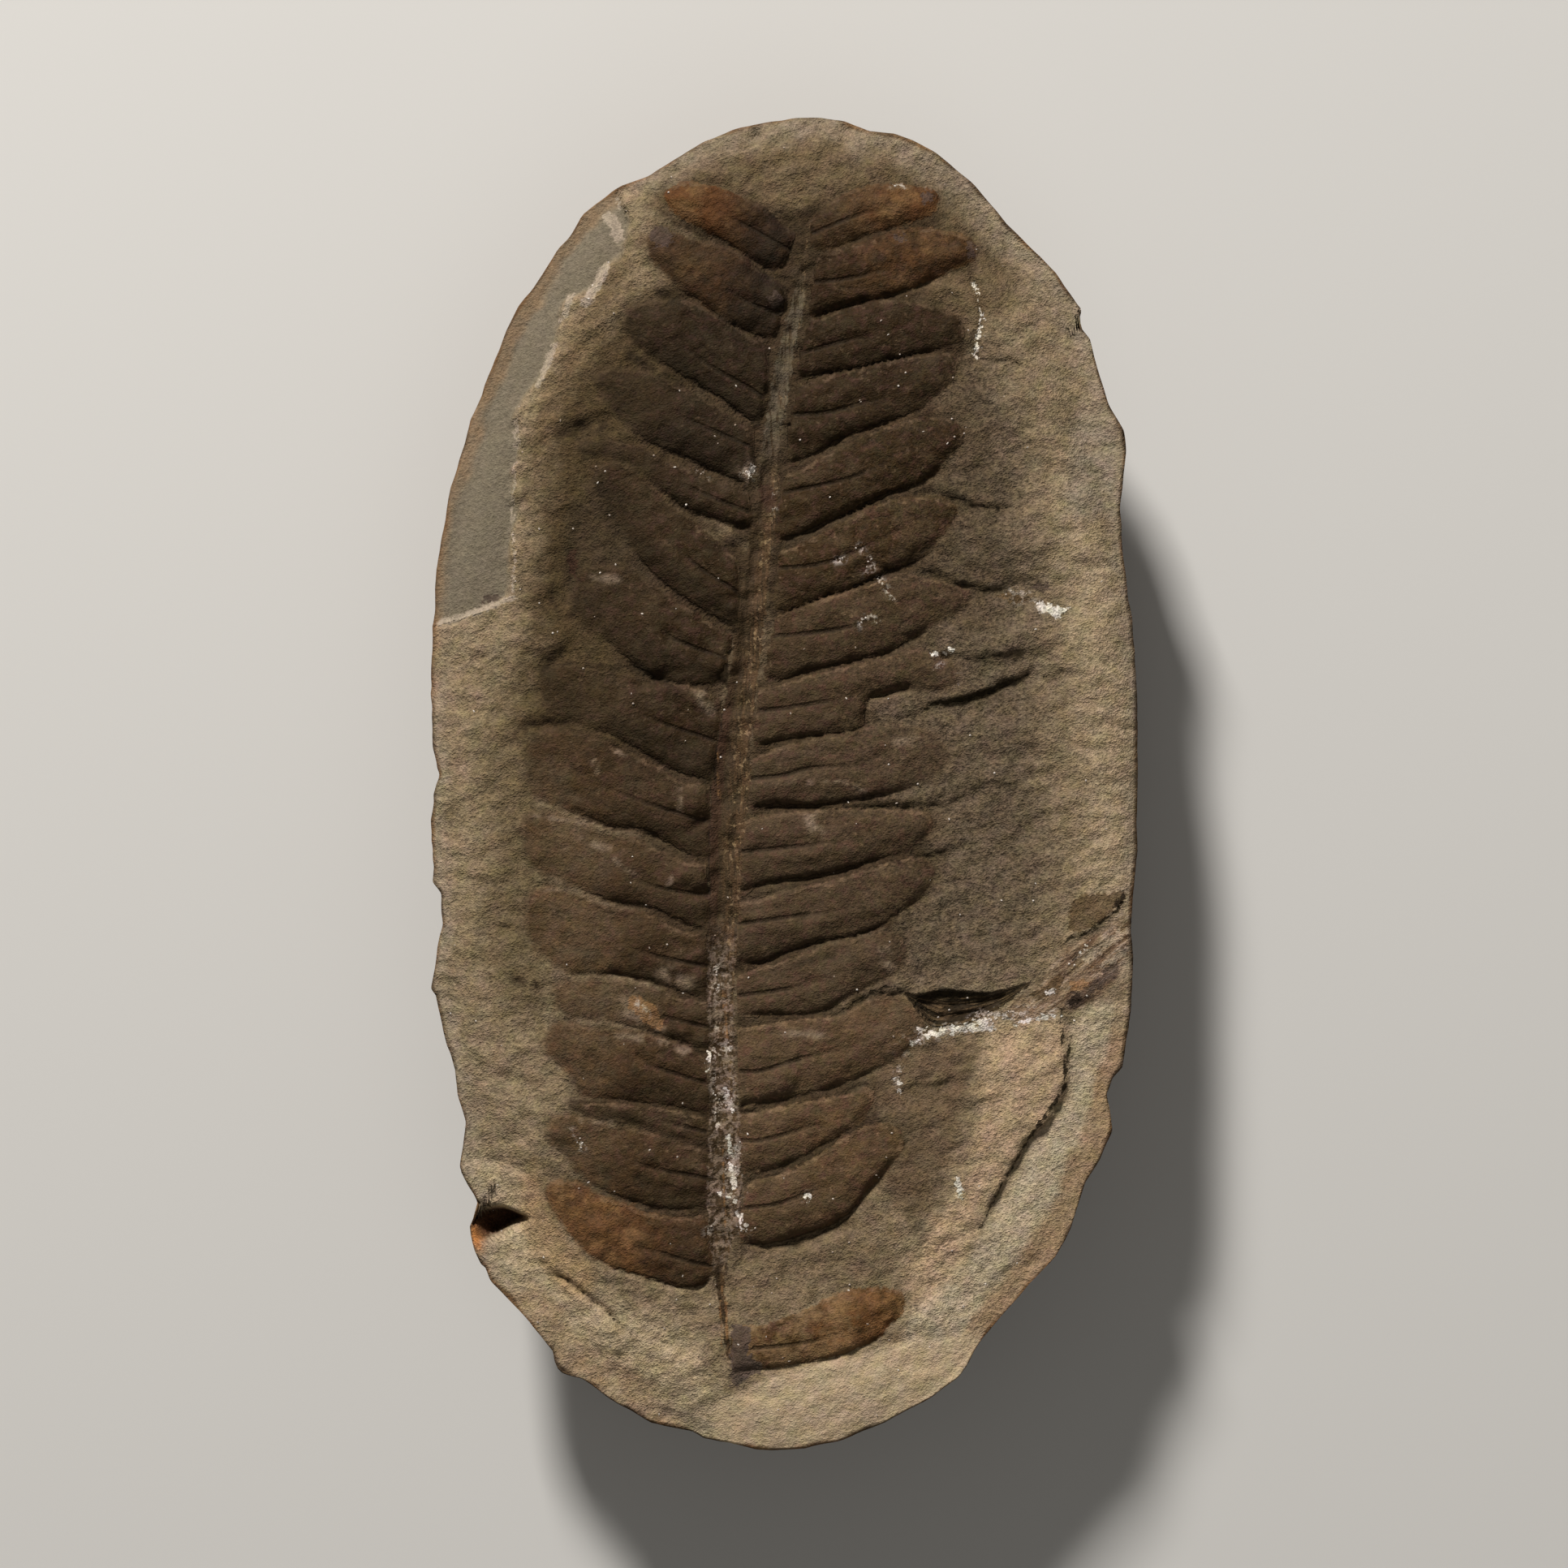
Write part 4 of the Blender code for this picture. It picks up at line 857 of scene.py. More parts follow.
# The ripple of the bare stone: one kind that runs on a slant, as the silt was laid, a finer and a broad one.
SLANT, SLANT_RIPPLE, FINE_RIPPLE, BROAD_RIPPLE = (0.88, 0.47), 0.11, 0.08, 0.16

leaf_id, leaf_depth, leaf_round, off_rib, rib_share, next_depth = pinnule_places(face_x, face_y)
stalk_relief, stalk_share, stalk_across, stalk_depth = stalk_height(face_x, face_y)
in_frond = ease(-0.15, 0.15, leaf_depth) * (1 - stalk_share)
on_ledge, _ = ledge_share(face_x, face_y)
on_lower, _ = lower_share(face_x, face_y)
on_pale = inside(face_x, face_y, PALE_BREAK, 2.0)
grit = (1 - FILM_CALM * in_frond) * (1 - LEDGE_CALM * on_ledge)
grit = grit * (1 - LOWER_CALM * on_lower) * (1 - PALE_CALM * on_pale)
slant_x, slant_y = face_x * SLANT[0] + face_y * SLANT[1], face_y * SLANT[0] - face_x * SLANT[1]
ripple = SLANT_RIPPLE * rough(slant_x / 1.35, slant_y, 0.9, 91, 2)
ripple = ripple + FINE_RIPPLE * rough(face_x, face_y, 0.75, 93, 1)
ripple += BROAD_RIPPLE * rough(face_x, face_y, 4.0, 95, 2)
leaf_relief = pinnule_height(face_x, face_y, leaf_id, leaf_depth, leaf_round, off_rib, rib_share)
relief = leaf_relief * (1 - stalk_share) + stalk_relief
scarps, scarp_shade, scarp_gap = scarp_height(face_x, face_y)
face_z = face_height(face_x, face_y) + swell_height(face_x, face_y) + scarps
face_z += break_height(face_x, face_y) + relief + ripple * grit
print(f"The face lies between {face_z.min():.1f} and {face_z.max():.1f} mm")

# %% Rings of the side and the back
# The worn flat's share of the outline, the number of rings, and how far round the last one is, in degrees.
BASE_SHARE, BACK_RINGS, LAST_TURN = 0.46, 11, 86.0
# How far the lumps of the back stand out, the small and the broad ones, how far it is drawn in between the
# rim and the base, and how much its height wavers, in millimetres.
SMALL_LUMP, BROAD_LUMP, DRAWN_IN, WAVER = 0.35, 0.5, 0.35, 0.25


def face_border():
    """Numbers of the grid points round the rim, anticlockwise."""
    row = COLUMNS + 1
    bottom = list(range(COLUMNS))
    right = [j * row + COLUMNS for j in range(ROWS)]
    top = [ROWS * row + i for i in range(COLUMNS, 0, -1)]
    left = [j * row for j in range(ROWS, 0, -1)]
    return bottom + right + top + left


border = np.array(face_border())
kept = border[::2]
print(f"{len(border)} points round the rim, {len(kept)} on each ring below it")


def back_ring(step):
    """One ring of the back: the rim's outline that turns into a smooth oval towards the base."""
    worn = step / BACK_RINGS
    turn = math.radians(LAST_TURN) * worn
    size = BASE_SHARE + (1 - BASE_SHARE) * math.cos(turn) ** 0.8
    rim_x, rim_y, rim_z = face_x[kept], face_y[kept], face_z[kept]
    angle = np.arctan2(rim_y / HALF_LENGTH, rim_x / HALF_WIDTH)
    oval_x, oval_y = HALF_WIDTH * np.cos(angle), HALF_LENGTH * np.sin(angle)
    x = (rim_x + (oval_x - rim_x) * worn) * size
    y = (rim_y + (oval_y - rim_y) * worn) * size
    level = 1 - math.sin(turn) / math.sin(math.radians(LAST_TURN))
    # The lumps fade out towards the rim and the base.
    between = math.sin(math.pi * worn)
    lumps = SMALL_LUMP * rough(x + 3 * level, y - 5 * level, 3.2, 101) + BROAD_LUMP * bumps(x, y, 9.0, 103)
    lumps = lumps * between**0.5 - DRAWN_IN * between
    length = np.hypot(x, y)
    height = rim_z * level + WAVER * rough(x, y, 2.6, 105) * between * (worn < 1)
    return np.column_stack([x * (1 + lumps / length), y * (1 + lumps / length), height])


rings = [back_ring(step) for step in range(1, BACK_RINGS + 1)]
print(f"{len(rings)} rings, the last one {np.ptp(rings[-1][:, 0]):.0f} by {np.ptp(rings[-1][:, 1]):.0f} mm")

# %% Join face and back


def stone_mesh():
    """Points and faces of the closed stone."""
    face_points = np.column_stack([face_x, face_y, face_z])
    points = np.vstack([face_points] + rings + [[(0, 0, 0)]])
    row = COLUMNS + 1
    faces = []
    for j in range(ROWS):
        for i in range(COLUMNS):
            a = j * row + i
            faces.append((a, a + 1, a + row + 1, a + row))
    count = len(kept)
    first = len(face_points)
    for k in range(count):
        b0, b1 = first + k, first + (k + 1) % count
        a0, a1, a2 = border[2 * k], border[2 * k + 1], border[(2 * k + 2) % len(border)]
        faces += [(a0, b0, a1), (a1, b0, b1), (a1, b1, a2)]
    for ring in range(BACK_RINGS - 1):
        upper, lower = first + ring * count, first + (ring + 1) * count
        for k in range(count):
            n = (k + 1) % count
            faces.append((upper + k, lower + k, lower + n, upper + n))
    last, middle = first + (BACK_RINGS - 1) * count, len(points) - 1
    faces += [(last + (k + 1) % count, last + k, middle) for k in range(count)]
    return points, faces


points, faces = stone_mesh()
stone_data = bpy.data.meshes.new("fossil_stone")
stone_data.from_pydata((points * MM).tolist(), [], faces)
stone_data.shade_smooth()
stone = in_scene("fossil_stone", stone_data)
triangles = sum(len(f) - 2 for f in faces)
print(f"The stone is one mesh of {triangles} triangles")

# %% [markdown]
# ## Where the colours change
#
# The colours of the real stone follow its history: carbon stains the frond, iron stains its tips and
# the rim, and clay shows grey where a chip flew off. Some masks paint shade instead, in the gaps, hollows
# and cracks, and light on the ledge's wall and the pinnules' upper lips. Each of these is a mask from 0 to
# 1, stored at the mesh's points, that the material reads by name.

# %% Stains and other regions
# Each region: its outline and how softly it ends.
REGIONS = {
    "stain": (
        [(6, 31.5), (12, 35.5), (16.8, 36), (19.4, 29), (20.8, 20), (21.2, 8), (21.6, 0), (21.6, -4),
         (22, -10), (19, -15.5), (9, -16.5), (4, 0)],
        6,
    ),
    "olive": (
        [(-8, 42.5), (-10.6, 41), (-13.4, 38.8), (-15.8, 36), (-18, 33), (-19.7, 29), (-20.7, 18),
         (-20.8, 9), (-21.4, 4.5), (-18, 1.5), (-12, 0), (-8, 25), (-5.5, 40)],
        4,
    ),
    "left_halo": (
        [(-20, 13), (-22.8, 11), (-24.4, 4), (-24.7, -6), (-24.4, -15), (-22, -19.5), (-19.5, -17),
         (-19, 0)],
        3.5,
    ),
    "crown": (
        [(-6.5, 45.5), (-5, 44.4), (-2, 42.4), (0.5, 40.4), (2.6, 42.5), (3.2, 46.5), (1, 47.2), (-2, 46.8),
         (-4, 46.6)],
        1.6,
    ),
    "brown": ([(-10, 47), (-13, 52), (0, 55.5), (13, 52), (16.5, 47), (19, 40), (12, 36), (6, 44)], 4),
    "ledge_foot": (
        [(-13.5, 44.5), (-15.8, 40.5), (-18.2, 36), (-19.5, 32.5), (-21, 29), (-20.4, 26), (-18.6, 30),
         (-16.6, 34), (-14.6, 38.5), (-12.3, 43)],
        2,
    ),
    "umber": (
        [(-5, -37), (1, -37.5), (6.5, -34.8), (8, -37.5), (7.5, -40.5), (3, -41.8), (-2, -43.8),
         (-5.6, -42.5), (-5.8, -40)],
        3,
    ),
    "light": ([(22.5, 26), (26.5, 18), (29.5, 2), (29.5, -14), (25.4, -13), (24.8, 0), (23.6, 12)], 3.5),
    "faded_film": (
        [(-18, 22), (-15.5, 24.6), (-12.6, 23.6), (-10, 19.8), (-10.5, 15.6), (-14, 13.8), (-17.4, 15.2)],
        1.6,
    ),
    "tip_shade": (
        [(8, -20.5), (13, -21), (16, -22.2), (15, -26.5), (13.4, -31), (13, -33.5), (10.4, -36),
         (8.4, -33.5), (9, -30), (7, -26)],
        2.5,
    ),
    "lit_field": (
        [(16.5, -20), (22.6, -19), (23, -24.5), (19.5, -30), (16, -36), (14, -42.5), (11.5, -47),
         (9, -46.6), (10.4, -43.6), (10.5, -39), (15, -32), (16, -25)],
        2,
    ),
    "lower_left": (
        [(-27.5, -29), (-24, -30.5), (-20.5, -34), (-17.5, -38.5), (-13.5, -42), (-7, -46.5), (-5.5, -52),
         (-6, -56), (-14, -55), (-24, -45)],
        3,
    ),
    "warm_tip": (
        [(-20.5, -31), (-18.5, -36), (-15.5, -40.5), (-17, -42.5), (-20.5, -39), (-22, -33.5)], 1.6,
    ),
    "lower_rim": (
        [(30.5, -17.6), (24, -19), (23.7, -24.8), (20.8, -29.5), (18.6, -33), (16.3, -37.4), (13.5, -41),
         (10, -44.5), (12, -50), (24, -46), (32, -25)],
        1.6,
    ),
    "pale": (PALE_BREAK, 0.9),
    "rust_band": (
        [(17, -19), (19.6, -17.4), (21.2, -16.4), (22.8, -13.8), (24.6, -12.9), (28.6, -10.4),
         (28.7, -13.6), (27.8, -14.6), (27, -16.4), (24.4, -18.4), (22.8, -18.8), (19.6, -19.3)],
        0.8,
    ),
    "grey_patch": (
        [(23, 21.9), (26.8, 22.2), (27.6, 24), (27, 28), (26, 30.5), (24, 30.3), (23.2, 26)], 1.4,
    ),
    # Painted shade beside the tips of the right pinnules.
    "tip_hollow": (
        [(14.4, 33.6), (16.4, 32.4), (17.4, 27), (17.8, 20), (18.6, 14.4), (15, 12), (12, 15), (12, 25),
         (12.5, 31)],
        2.5,
    ),
    "notch": (NOTCH, 0.5),
}

print(f"{len(REGIONS)} regions")

# %% [markdown]
# ## Soft masks and sharp edges
#
# A stain ends softly, and a mask from 0 to 1 serves it well. A crack, a crust or a chip ends sharply, and
# a mask stored at points a third of a millimetre apart would blur it. For those the mesh stores the
# distance to the edge instead. Distance changes evenly from point to point, so nothing is lost between
# them, and the material cuts it off as sharply as it likes.

# %% Mineral veins and sharp details
# Soft veins of the mineral: each line and its half width.
MINERAL_LINES = [
    ([(-4.6, -21.6), (-4.8, -24), (-4.6, -26.4)], 0.5), ([(-4.2, -30), (-3.9, -33), (-3.3, -36.5)], 0.6),
    ([(-5.9, -34), (-6.2, -38.2)], 0.4), ([(-5.6, -14), (-5.6, -20), (-5.5, -28)], 0.4),
    ([(9.7, -21.6), (12.4, -20.4), (15.7, -19.4), (19, -19), (22.4, -18.6)], 0.6),
    ([(17.2, 16.2), (18.6, 15.9), (20, 15.6)], 0.25), ([(19.2, 15.2), (20.4, 14.9), (21.2, 14.2)], 0.35),
    ([(12.2, 9.1), (13, 9.8), (14.2, 9.2), (14.3, 8.2), (13.4, 7.6)], 0.2),
    ([(4.3, 18.3), (5.5, 18.4), (6.8, 17.1)], 0.25),
    ([(6.2, 19.6), (7, 18.4), (8.2, 16.3), (9, 15.3)], 0.22), ([(15.3, 15.6), (15.3, 14.9)], 0.2),
    ([(-3.2, 25.2), (-2.2, 26.4)], 0.45), ([(-0.5, 23.9), (-0.9, 22.6)], 0.35),
    ([(7.8, 12.8), (7.4, 13.7), (6.4, 13.6), (6.1, 12.7)], 0.18), ([(9.3, -23.5), (9.4, -24.3)], 0.35),
    ([(-10, 25.5), (-7, 25.7), (-5.9, 24.6)], 0.14), ([(9, 49.2), (12, 49.3)], 0.2),
    ([(1.9, -33.8), (2.1, -34.2)], 0.35), ([(-12.2, -17.9), (-10.7, -19.4)], 0.2),
    ([(-17.4, -28.6), (-16.6, -29.8)], 0.35),
]
# Lines with a sharp edge: crusts of the mineral, open cracks with painted shade, the pale broken wall of
# the ledge with painted light where it faces the lamp, and rust.
SHARP_LINES = {
    "crust": [
        ([(21.2, 14.6), (22.2, 14.2), (23, 14.3)], 0.38), ([(-4.4, -31.4), (-4.1, -33)], 0.16),
        ([(-3.8, -35.2), (-3.2, -36.6)], 0.16), ([(13.4, 10.9), (14, 10.9)], 0.16),
        ([(12.2, 10.7), (12.5, 10.6)], 0.14), ([(9.2, -24.2), (9.6, -25.2)], 0.18),
        ([(14.35, -32.6), (14.6, -33.9)], 0.22),
        ([(11.4, -20.6), (13.5, -20.3), (15, -20.05), (16.6, -19.5)], 0.24),
        ([(14.9, -20.2), (17.2, -20)], 0.2), ([(-4.9, -25), (-4.3, -26.8)], 0.12),
        ([(11.2, -20.2), (11.4, -20.3)], 0.3), ([(10.5, -21.3), (10.8, -21.1)], 0.18),
        ([(11.7, -20.9), (12.4, -20.7)], 0.12),
        ([(19, -19.8), (20.2, -19.4), (21.4, -19.2), (22.7, -19)], 0.1), ([(21.6, -17.1), (22, -17)], 0.18),
        ([(15.6, 41.3), (16, 40.6), (16.15, 39.9), (16.1, 39.1)], 0.09),
        ([(16.1, 37.4), (16.3, 38.4)], 0.08), ([(15.85, 36.2), (15.85, 35.1)], 0.12),
        ([(15.8, 36.9), (16.4, 36.9)], 0.08), ([(-2.8, 25.6), (-2.6, 26)], 0.14),
        ([(1.9, -33.8), (2.1, -34.2)], 0.16), ([(24.3, -13.8), (25.1, -13.2)], 0.1),
        ([(-6.3, -22), (-6.2, -23.4)], 0.08), ([(-5.5, -33.5), (-3.7, -34.4)], 0.06),
        ([(-4.6, -29), (-4.4, -30.6)], 0.08),
    ],
    # Open cracks: painted shade, and the dark film the cracks hold.
    "open_crack": [
        ([(23.3, -24.6), (22, -26.6), (20.2, -29.1)], 0.11), ([(20.2, -29.1), (18.3, -32.3)], 0.08),
        ([(18.3, -32.3), (17, -34.8), (16.1, -36.8)], 0.06),
        ([(22.9, -18.6), (22.9, -20.8), (23.2, -24.4)], 0.11),
        (
            [(7, -17.2), (8, -16.8), (9.2, -16.8), (10, -17.2), (10.6, -17.9), (11.4, -19), (12, -19.6)],
            0.08,
        ),
        ([(22.9, -13.4), (23.7, -12.6), (25, -12.2), (26.9, -10.8), (28.2, -9.4)], 0.07),
        ([(23.6, -20.4), (23.5, -22.4), (23.7, -24.4)], 0.08),
        (LOW_CRACK, 0.03), (NICK, 0.03), ([(24.2, -14), (23.8, -14.8), (23.7, -16)], 0.06),
        ([(15.5, 42.2), (15.7, 41.2), (16.2, 39.6), (16.3, 38), (15.7, 36.4), (15.7, 34.9)], 0),
        ([(-29.6, 12.9), (-26.3, 13.6), (-23.6, 14.6)], 0.03),
    ],
    # The ledge's broken wall: pale, with painted light where it faces the lamp.
    "pale_lit_ledge_wall": [
        ([(-14.6, 46.8), (-13.9, 46), (-13.7, 45.1)], 0.5),
        ([(-14.7, 42.6), (-15.3, 41.3), (-16.3, 39.6)], 0.42), ([(-17.5, 40.3), (-18.3, 38.2)], 0.24),
        ([(-18.9, 36.2), (-20.3, 32.7)], 0.25), ([(-22.1, 29.8), (-22, 27.9)], 0.25),
        ([(-13.8, 48.6), (-13.6, 47.6)], 0.14),
        ([(-22.2, 26.5), (-22.4, 22), (-22.2, 19), (-22.35, 15.8)], 0.13),
        ([(-22.3, 15.3), (-23.5, 14.9), (-25, 14.3), (-28.5, 13.3)], 0.26),
    ],
    "rust_line": [
        ([(-5.1, -41.2), (-5.25, -44), (-5.1, -47.2)], 0.05), ([(-4.75, -42.6), (-4.65, -45.6)], 0.1),
        ([(27.9, -13.6), (24.5, -15.5)], 0.03), ([(-5.4, 2.6), (-5.35, 1.6)], 0.1),
        ([(-5.4, 0.8), (-5.35, -1.2)], 0.1), ([(-5, -17), (-4.7, -21)], 0.08),
        ([(-5, -30), (-4.8, -37)], 0.05),
    ],
}
# Patches with a sharp edge: outlines.
SHARP_PATCHES = {
    "fibre": [FIBRE_HOLLOW],
    "brown_chip": [
        [(23.4, -12), (23.5, -10.2), (24.2, -9.3), (26, -9), (27.6, -8.9), (28.3, -9.3), (27.4, -10.2),
         (26, -11.3), (24.5, -12.1)],
        [(20.4, -17.3), (21.4, -16.6), (23, -15.6), (22.6, -16.9), (20.9, -17.7)],
        [(17.5, 15.8), (20, 15.3), (19.2, 14.9), (17.6, 15.2)],
    ],
    "orange_chip": [
        [(-12.8, -17.4), (-11.6, -17.6), (-10.4, -18.6), (-10, -19.9), (-10.6, -20.2), (-11.8, -19.2),
         (-12.8, -18.2)],
        [(23.3, -16.6), (24.2, -16.1), (25.4, -16.4), (25.2, -16.9), (24, -17)],
    ],
    "purple_chip": [
        [(23.2, -17.9), (23.7, -17.2), (24.6, -16.9), (25.6, -16.1), (26.6, -15), (27.4, -14.4),
         (27.5, -15.6), (26.4, -16.6), (25.2, -17.4), (24.2, -18.3), (23.5, -18.4)],
        [(-24.7, 15.5), (-23.3, 15.5), (-23.3, 14.95), (-24.6, 14.9)],
        [(11.2, 48.6), (12.3, 48.7), (12.2, 47.9), (11.4, 47.9)],
        [(-11.1, 45.2), (-10.4, 45.9), (-9.4, 45.6), (-9.1, 44.8), (-9.8, 44.2), (-10.8, 44.4)],
        [(15, 44.9), (15.7, 44.2), (15.6, 43.3), (15.1, 43.6)], [(8.9, 45.2), (10, 45.2), (9.6, 44.5)],
        [(20.5, 16.7), (21.8, 16.5), (21.6, 15.9), (20.8, 15.9)],
        [(-1.4, 40), (-0.7, 40.5), (-0.1, 39.9), (-0.6, 39.1), (-1.2, 39.3)],
    ],
    "grey_chip": [
        [(-4.3, -44.6), (-3.2, -44.5), (-2.7, -45.4), (-2.9, -46.6), (-2.6, -47.2), (-1.8, -47.7),
         (-2, -48.4), (-2.9, -48.9), (-4.3, -49.5), (-4.4, -47.4)],
    ],
    "pale_chip": [
        [(24.6, -14.3), (26.2, -13), (28.3, -11.7), (28.4, -12.3), (26.6, -13.5), (25, -14.8)],
        [(25.6, -15.2), (27.2, -13.9), (28.4, -13.2), (28.4, -13.8), (26.6, -15)],
    ],
    "red_chip": [
        [(-1.9, 24.6), (-1, 24.6), (-0.8, 22.8), (-1.6, 22.6)],
        [(-17.9, 18.4), (-17.3, 19.4), (-17, 18), (-17.3, 17)],
    ],
    "black_chip": [
        [(23.3, -17.9), (23.7, -17.4), (24.5, -17.3), (24.3, -18), (23.7, -18.3)],
        [(27, -10.4), (27.6, -10), (28.2, -9.2), (27.9, -9.1), (27.2, -9.8)],
    ],
}
# Single bright grains.
BRIGHT_GRAINS = [(-14, 38.7), (-9.5, 48.7), (-4, 29.5), (-1.2, 35.8), (-14.7, 25.7), (5.35, -37.7),
                 (4, -38.5), (-0.6, -40.7), (-10.7, 27), (-16.5, 9.5), (10, 33.8), (9.4, 32.7),
                 (13.9, 33.4), (13.8, 30), (14, 28.5), (14.8, 28.8), (15.3, 4), (11, 0), (-22.3, 20.5),
                 (6, -16.9), (-23.35, -37), (13.6, -18.6), (12.7, -19.2), (15.1, -17.6), (8.6, 1.6),
                 (5.4, -41.2), (-1, -41.9), (20.5, -9.6), (17.3, 0.9), (-19, 12.4), (-12.4, 6.6),
                 (-9.6, -13.2), (23.45, -14.8), (23.9, -14.9), (-5.2, 2.2), (-4.9, 6.1)]
BRIGHT_RADIUS = 0.10

# Painted shade in the dark, ragged hollows along the upper edges of the left pinnules: each line and its
# half width.
SHADED_POCKETS = [
    ([(-17.4, 19.7), (-17.2, 18.4), (-17.5, 16.9)], 0.4),
    ([(-19, 16.4), (-19.1, 15.2), (-18.6, 14.3)], 0.2),
    ([(-17.2, 15.3), (-17.2, 14.4), (-17.7, 13.4)], 0.28),
    ([(-19.8, 9.2), (-19.3, 10.3), (-18.2, 10.3)], 0.55), ([(-18, 10), (-15.6, 9.8), (-13.4, 9.5)], 0.18),
    ([(-12.4, 9.6), (-10.8, 8.9), (-9.2, 8.2)], 0.5),
    ([(-21.8, 4.3), (-20.5, 5), (-18.6, 5.1), (-17.3, 4.5)], 0.3),
    ([(-18.2, 28.9), (-16.6, 29.7), (-15, 29.3)], 0.8),
    ([(-15.6, 24.6), (-14.6, 22.6), (-13.8, 20.6)], 0.5), ([(-12.6, 35.2), (-10.6, 34), (-8.6, 33.2)], 0.4),
    ([(-10.6, 40.6), (-8.8, 39.8)], 0.4), ([(-22.2, -16), (-20.4, -16.4)], 0.4),
    ([(8.4, 17.6), (10.4, 18.2), (12, 19.5)], 0.5), ([(-6, 19.8), (-4.2, 19.6), (-3.2, 20.2)], 0.5),
    ([(1, -14.9), (3, -14.3), (4.6, -13.9)], 0.3), ([(-8.8, 46.4), (-7, 45.3), (-5, 44.6)], 0.45),
]

# Pale patches on the frond, where the film has flaked off.
LIGHT_SPOTS = [
    ([(-12.6, -18.3), (-10.7, -19.8)], 0.85), ([(-9.8, -15.4), (-8.2, -16.4)], 0.6),
    ([(-16.6, -4.6), (-14.6, -5.3)], 0.3), ([(-14, -6.2), (-12.2, -7.5)], 0.16),
    ([(-9.2, -7), (-9.4, -8.3)], 0.2), ([(2.2, -2.8), (2.6, -4)], 0.5),
    ([(2, 0.1), (4.8, 0.2), (6.6, -0.6)], 0.12), ([(8.4, -13.6), (8.9, -14.9)], 0.5),
    ([(-3, 25.8), (-2.4, 24.9)], 0.6), ([(-15.7, 1.9), (-15.3, 1)], 0.2),
    ([(-13.8, 2.8), (-12.2, 1.8)], 0.12), ([(-20.5, -2.6), (-16.5, -3.2)], 0.16),
    ([(-6.8, 7.4), (-6.2, 6.2)], 0.45),
    ([(-20.4, -8.8), (-17.6, -8.7), (-15.6, -9.6), (-12.8, -10.2)], 0.14),
    ([(-8.4, -0.4), (-8.6, -2.4)], 0.2), ([(-16.5, -27.6), (-14, -28)], 0.25),
    ([(-13.6, -20.6), (-10, -21.2), (-8, -22.1)], 0.3), ([(0, -20.4), (3, -20.6)], 0.3),
    ([(-15.8, 17), (-13.5, 16.8)], 0.3), ([(9, 3.4), (11, 3.6)], 0.35),
]

for title, table in (("lines", SHARP_LINES), ("patches", SHARP_PATCHES)):
    print(f"{sum(len(shapes) for shapes in table.values())} sharp {title}")

# %% Shades of the pinnules
# How golden, rusty or grey the film of a pinnule is: not at all where a name is missing.
GOLDEN = {"right_16": 0.4, "right_1": 0.15}
RUSTY = {
    "right_1": 0.7, "left_1": 1, "right_16": 0.5, "left_15": 0.6, "right_2": 0.4, "left_2": 0.35,
    "left_14": 0.15, "left_9": 0.1, "left_10": 0.1, "left_11": 0.12, "left_12": 0.12, "left_13": 0.15,
    "right_13": 0.08, "right_14": 0.1, "right_15": 0.1,
}
GREYED = {
    "right_7": 0.5, "right_8": 0.7, "right_9": 1, "right_10": 0.9, "right_11": 0.9, "right_12": 0.9,
    "right_13": 0.9, "right_14": 0.8, "right_15": 0.7, "left_9": 0.3, "left_10": 0.4, "left_11": 0.35,
    "left_12": 0.3, "left_13": 0.3, "left_14": 0.3, "left_15": 0.3, "left_13_fold": 0.3,
}


def line_mask(x, y, lines):
    """How strongly each point lies on any of several lines with a half width."""
    total = np.zeros(x.shape)
    for line, half in lines:
        d, _ = from_line(x, y, line, 4 * half)
        total = np.maximum(total, np.exp(-((d / half) ** 2)))
    return total


def film_tone():
    """How bright the film is: dark in the upper frond, above all beside the stalk, and paler at some tips."""
    x, y = face_x, face_y
    rust = leaf_values(RUSTY, leaf_id)
    stalk_x = np.interp(y, [p[1] for p in STALK][::-1], [p[0] for p in STALK][::-1])
    # The heart is the darkest film of all, beside the stalk in the upper frond.
    heart = ease(33, 43, y) * np.exp(-(((x - stalk_x + 2.6) / 4.2) ** 2))
    right = ON_RIGHT[leaf_id]
    tone = 1 - (0.38 - 0.08 * right) * ease(20, 33, y) * (1 - 0.6 * rust)
    tone *= 1 - (1 - right) * (0.1 + 0.16 * ease(-6, 4, y) * ease(34, 26, y))
    tone *= (1 - 0.6 * heart) * (1 + right * (0.35 * ease(-14, -22, y) + 0.05 * ease(-28, -33, y)))
    # The lower tips on the left are paler, the last one most.
    low_left = ease(4, -3, y) * ease(-12.5, -17.5, x) * ease(-36, -30, y)
    last_tip = ease(-32, -35, y) * ease(-11, -14, x)
    return tone * (1 + 0.3 * low_left) * (1 + 0.4 * last_tip)


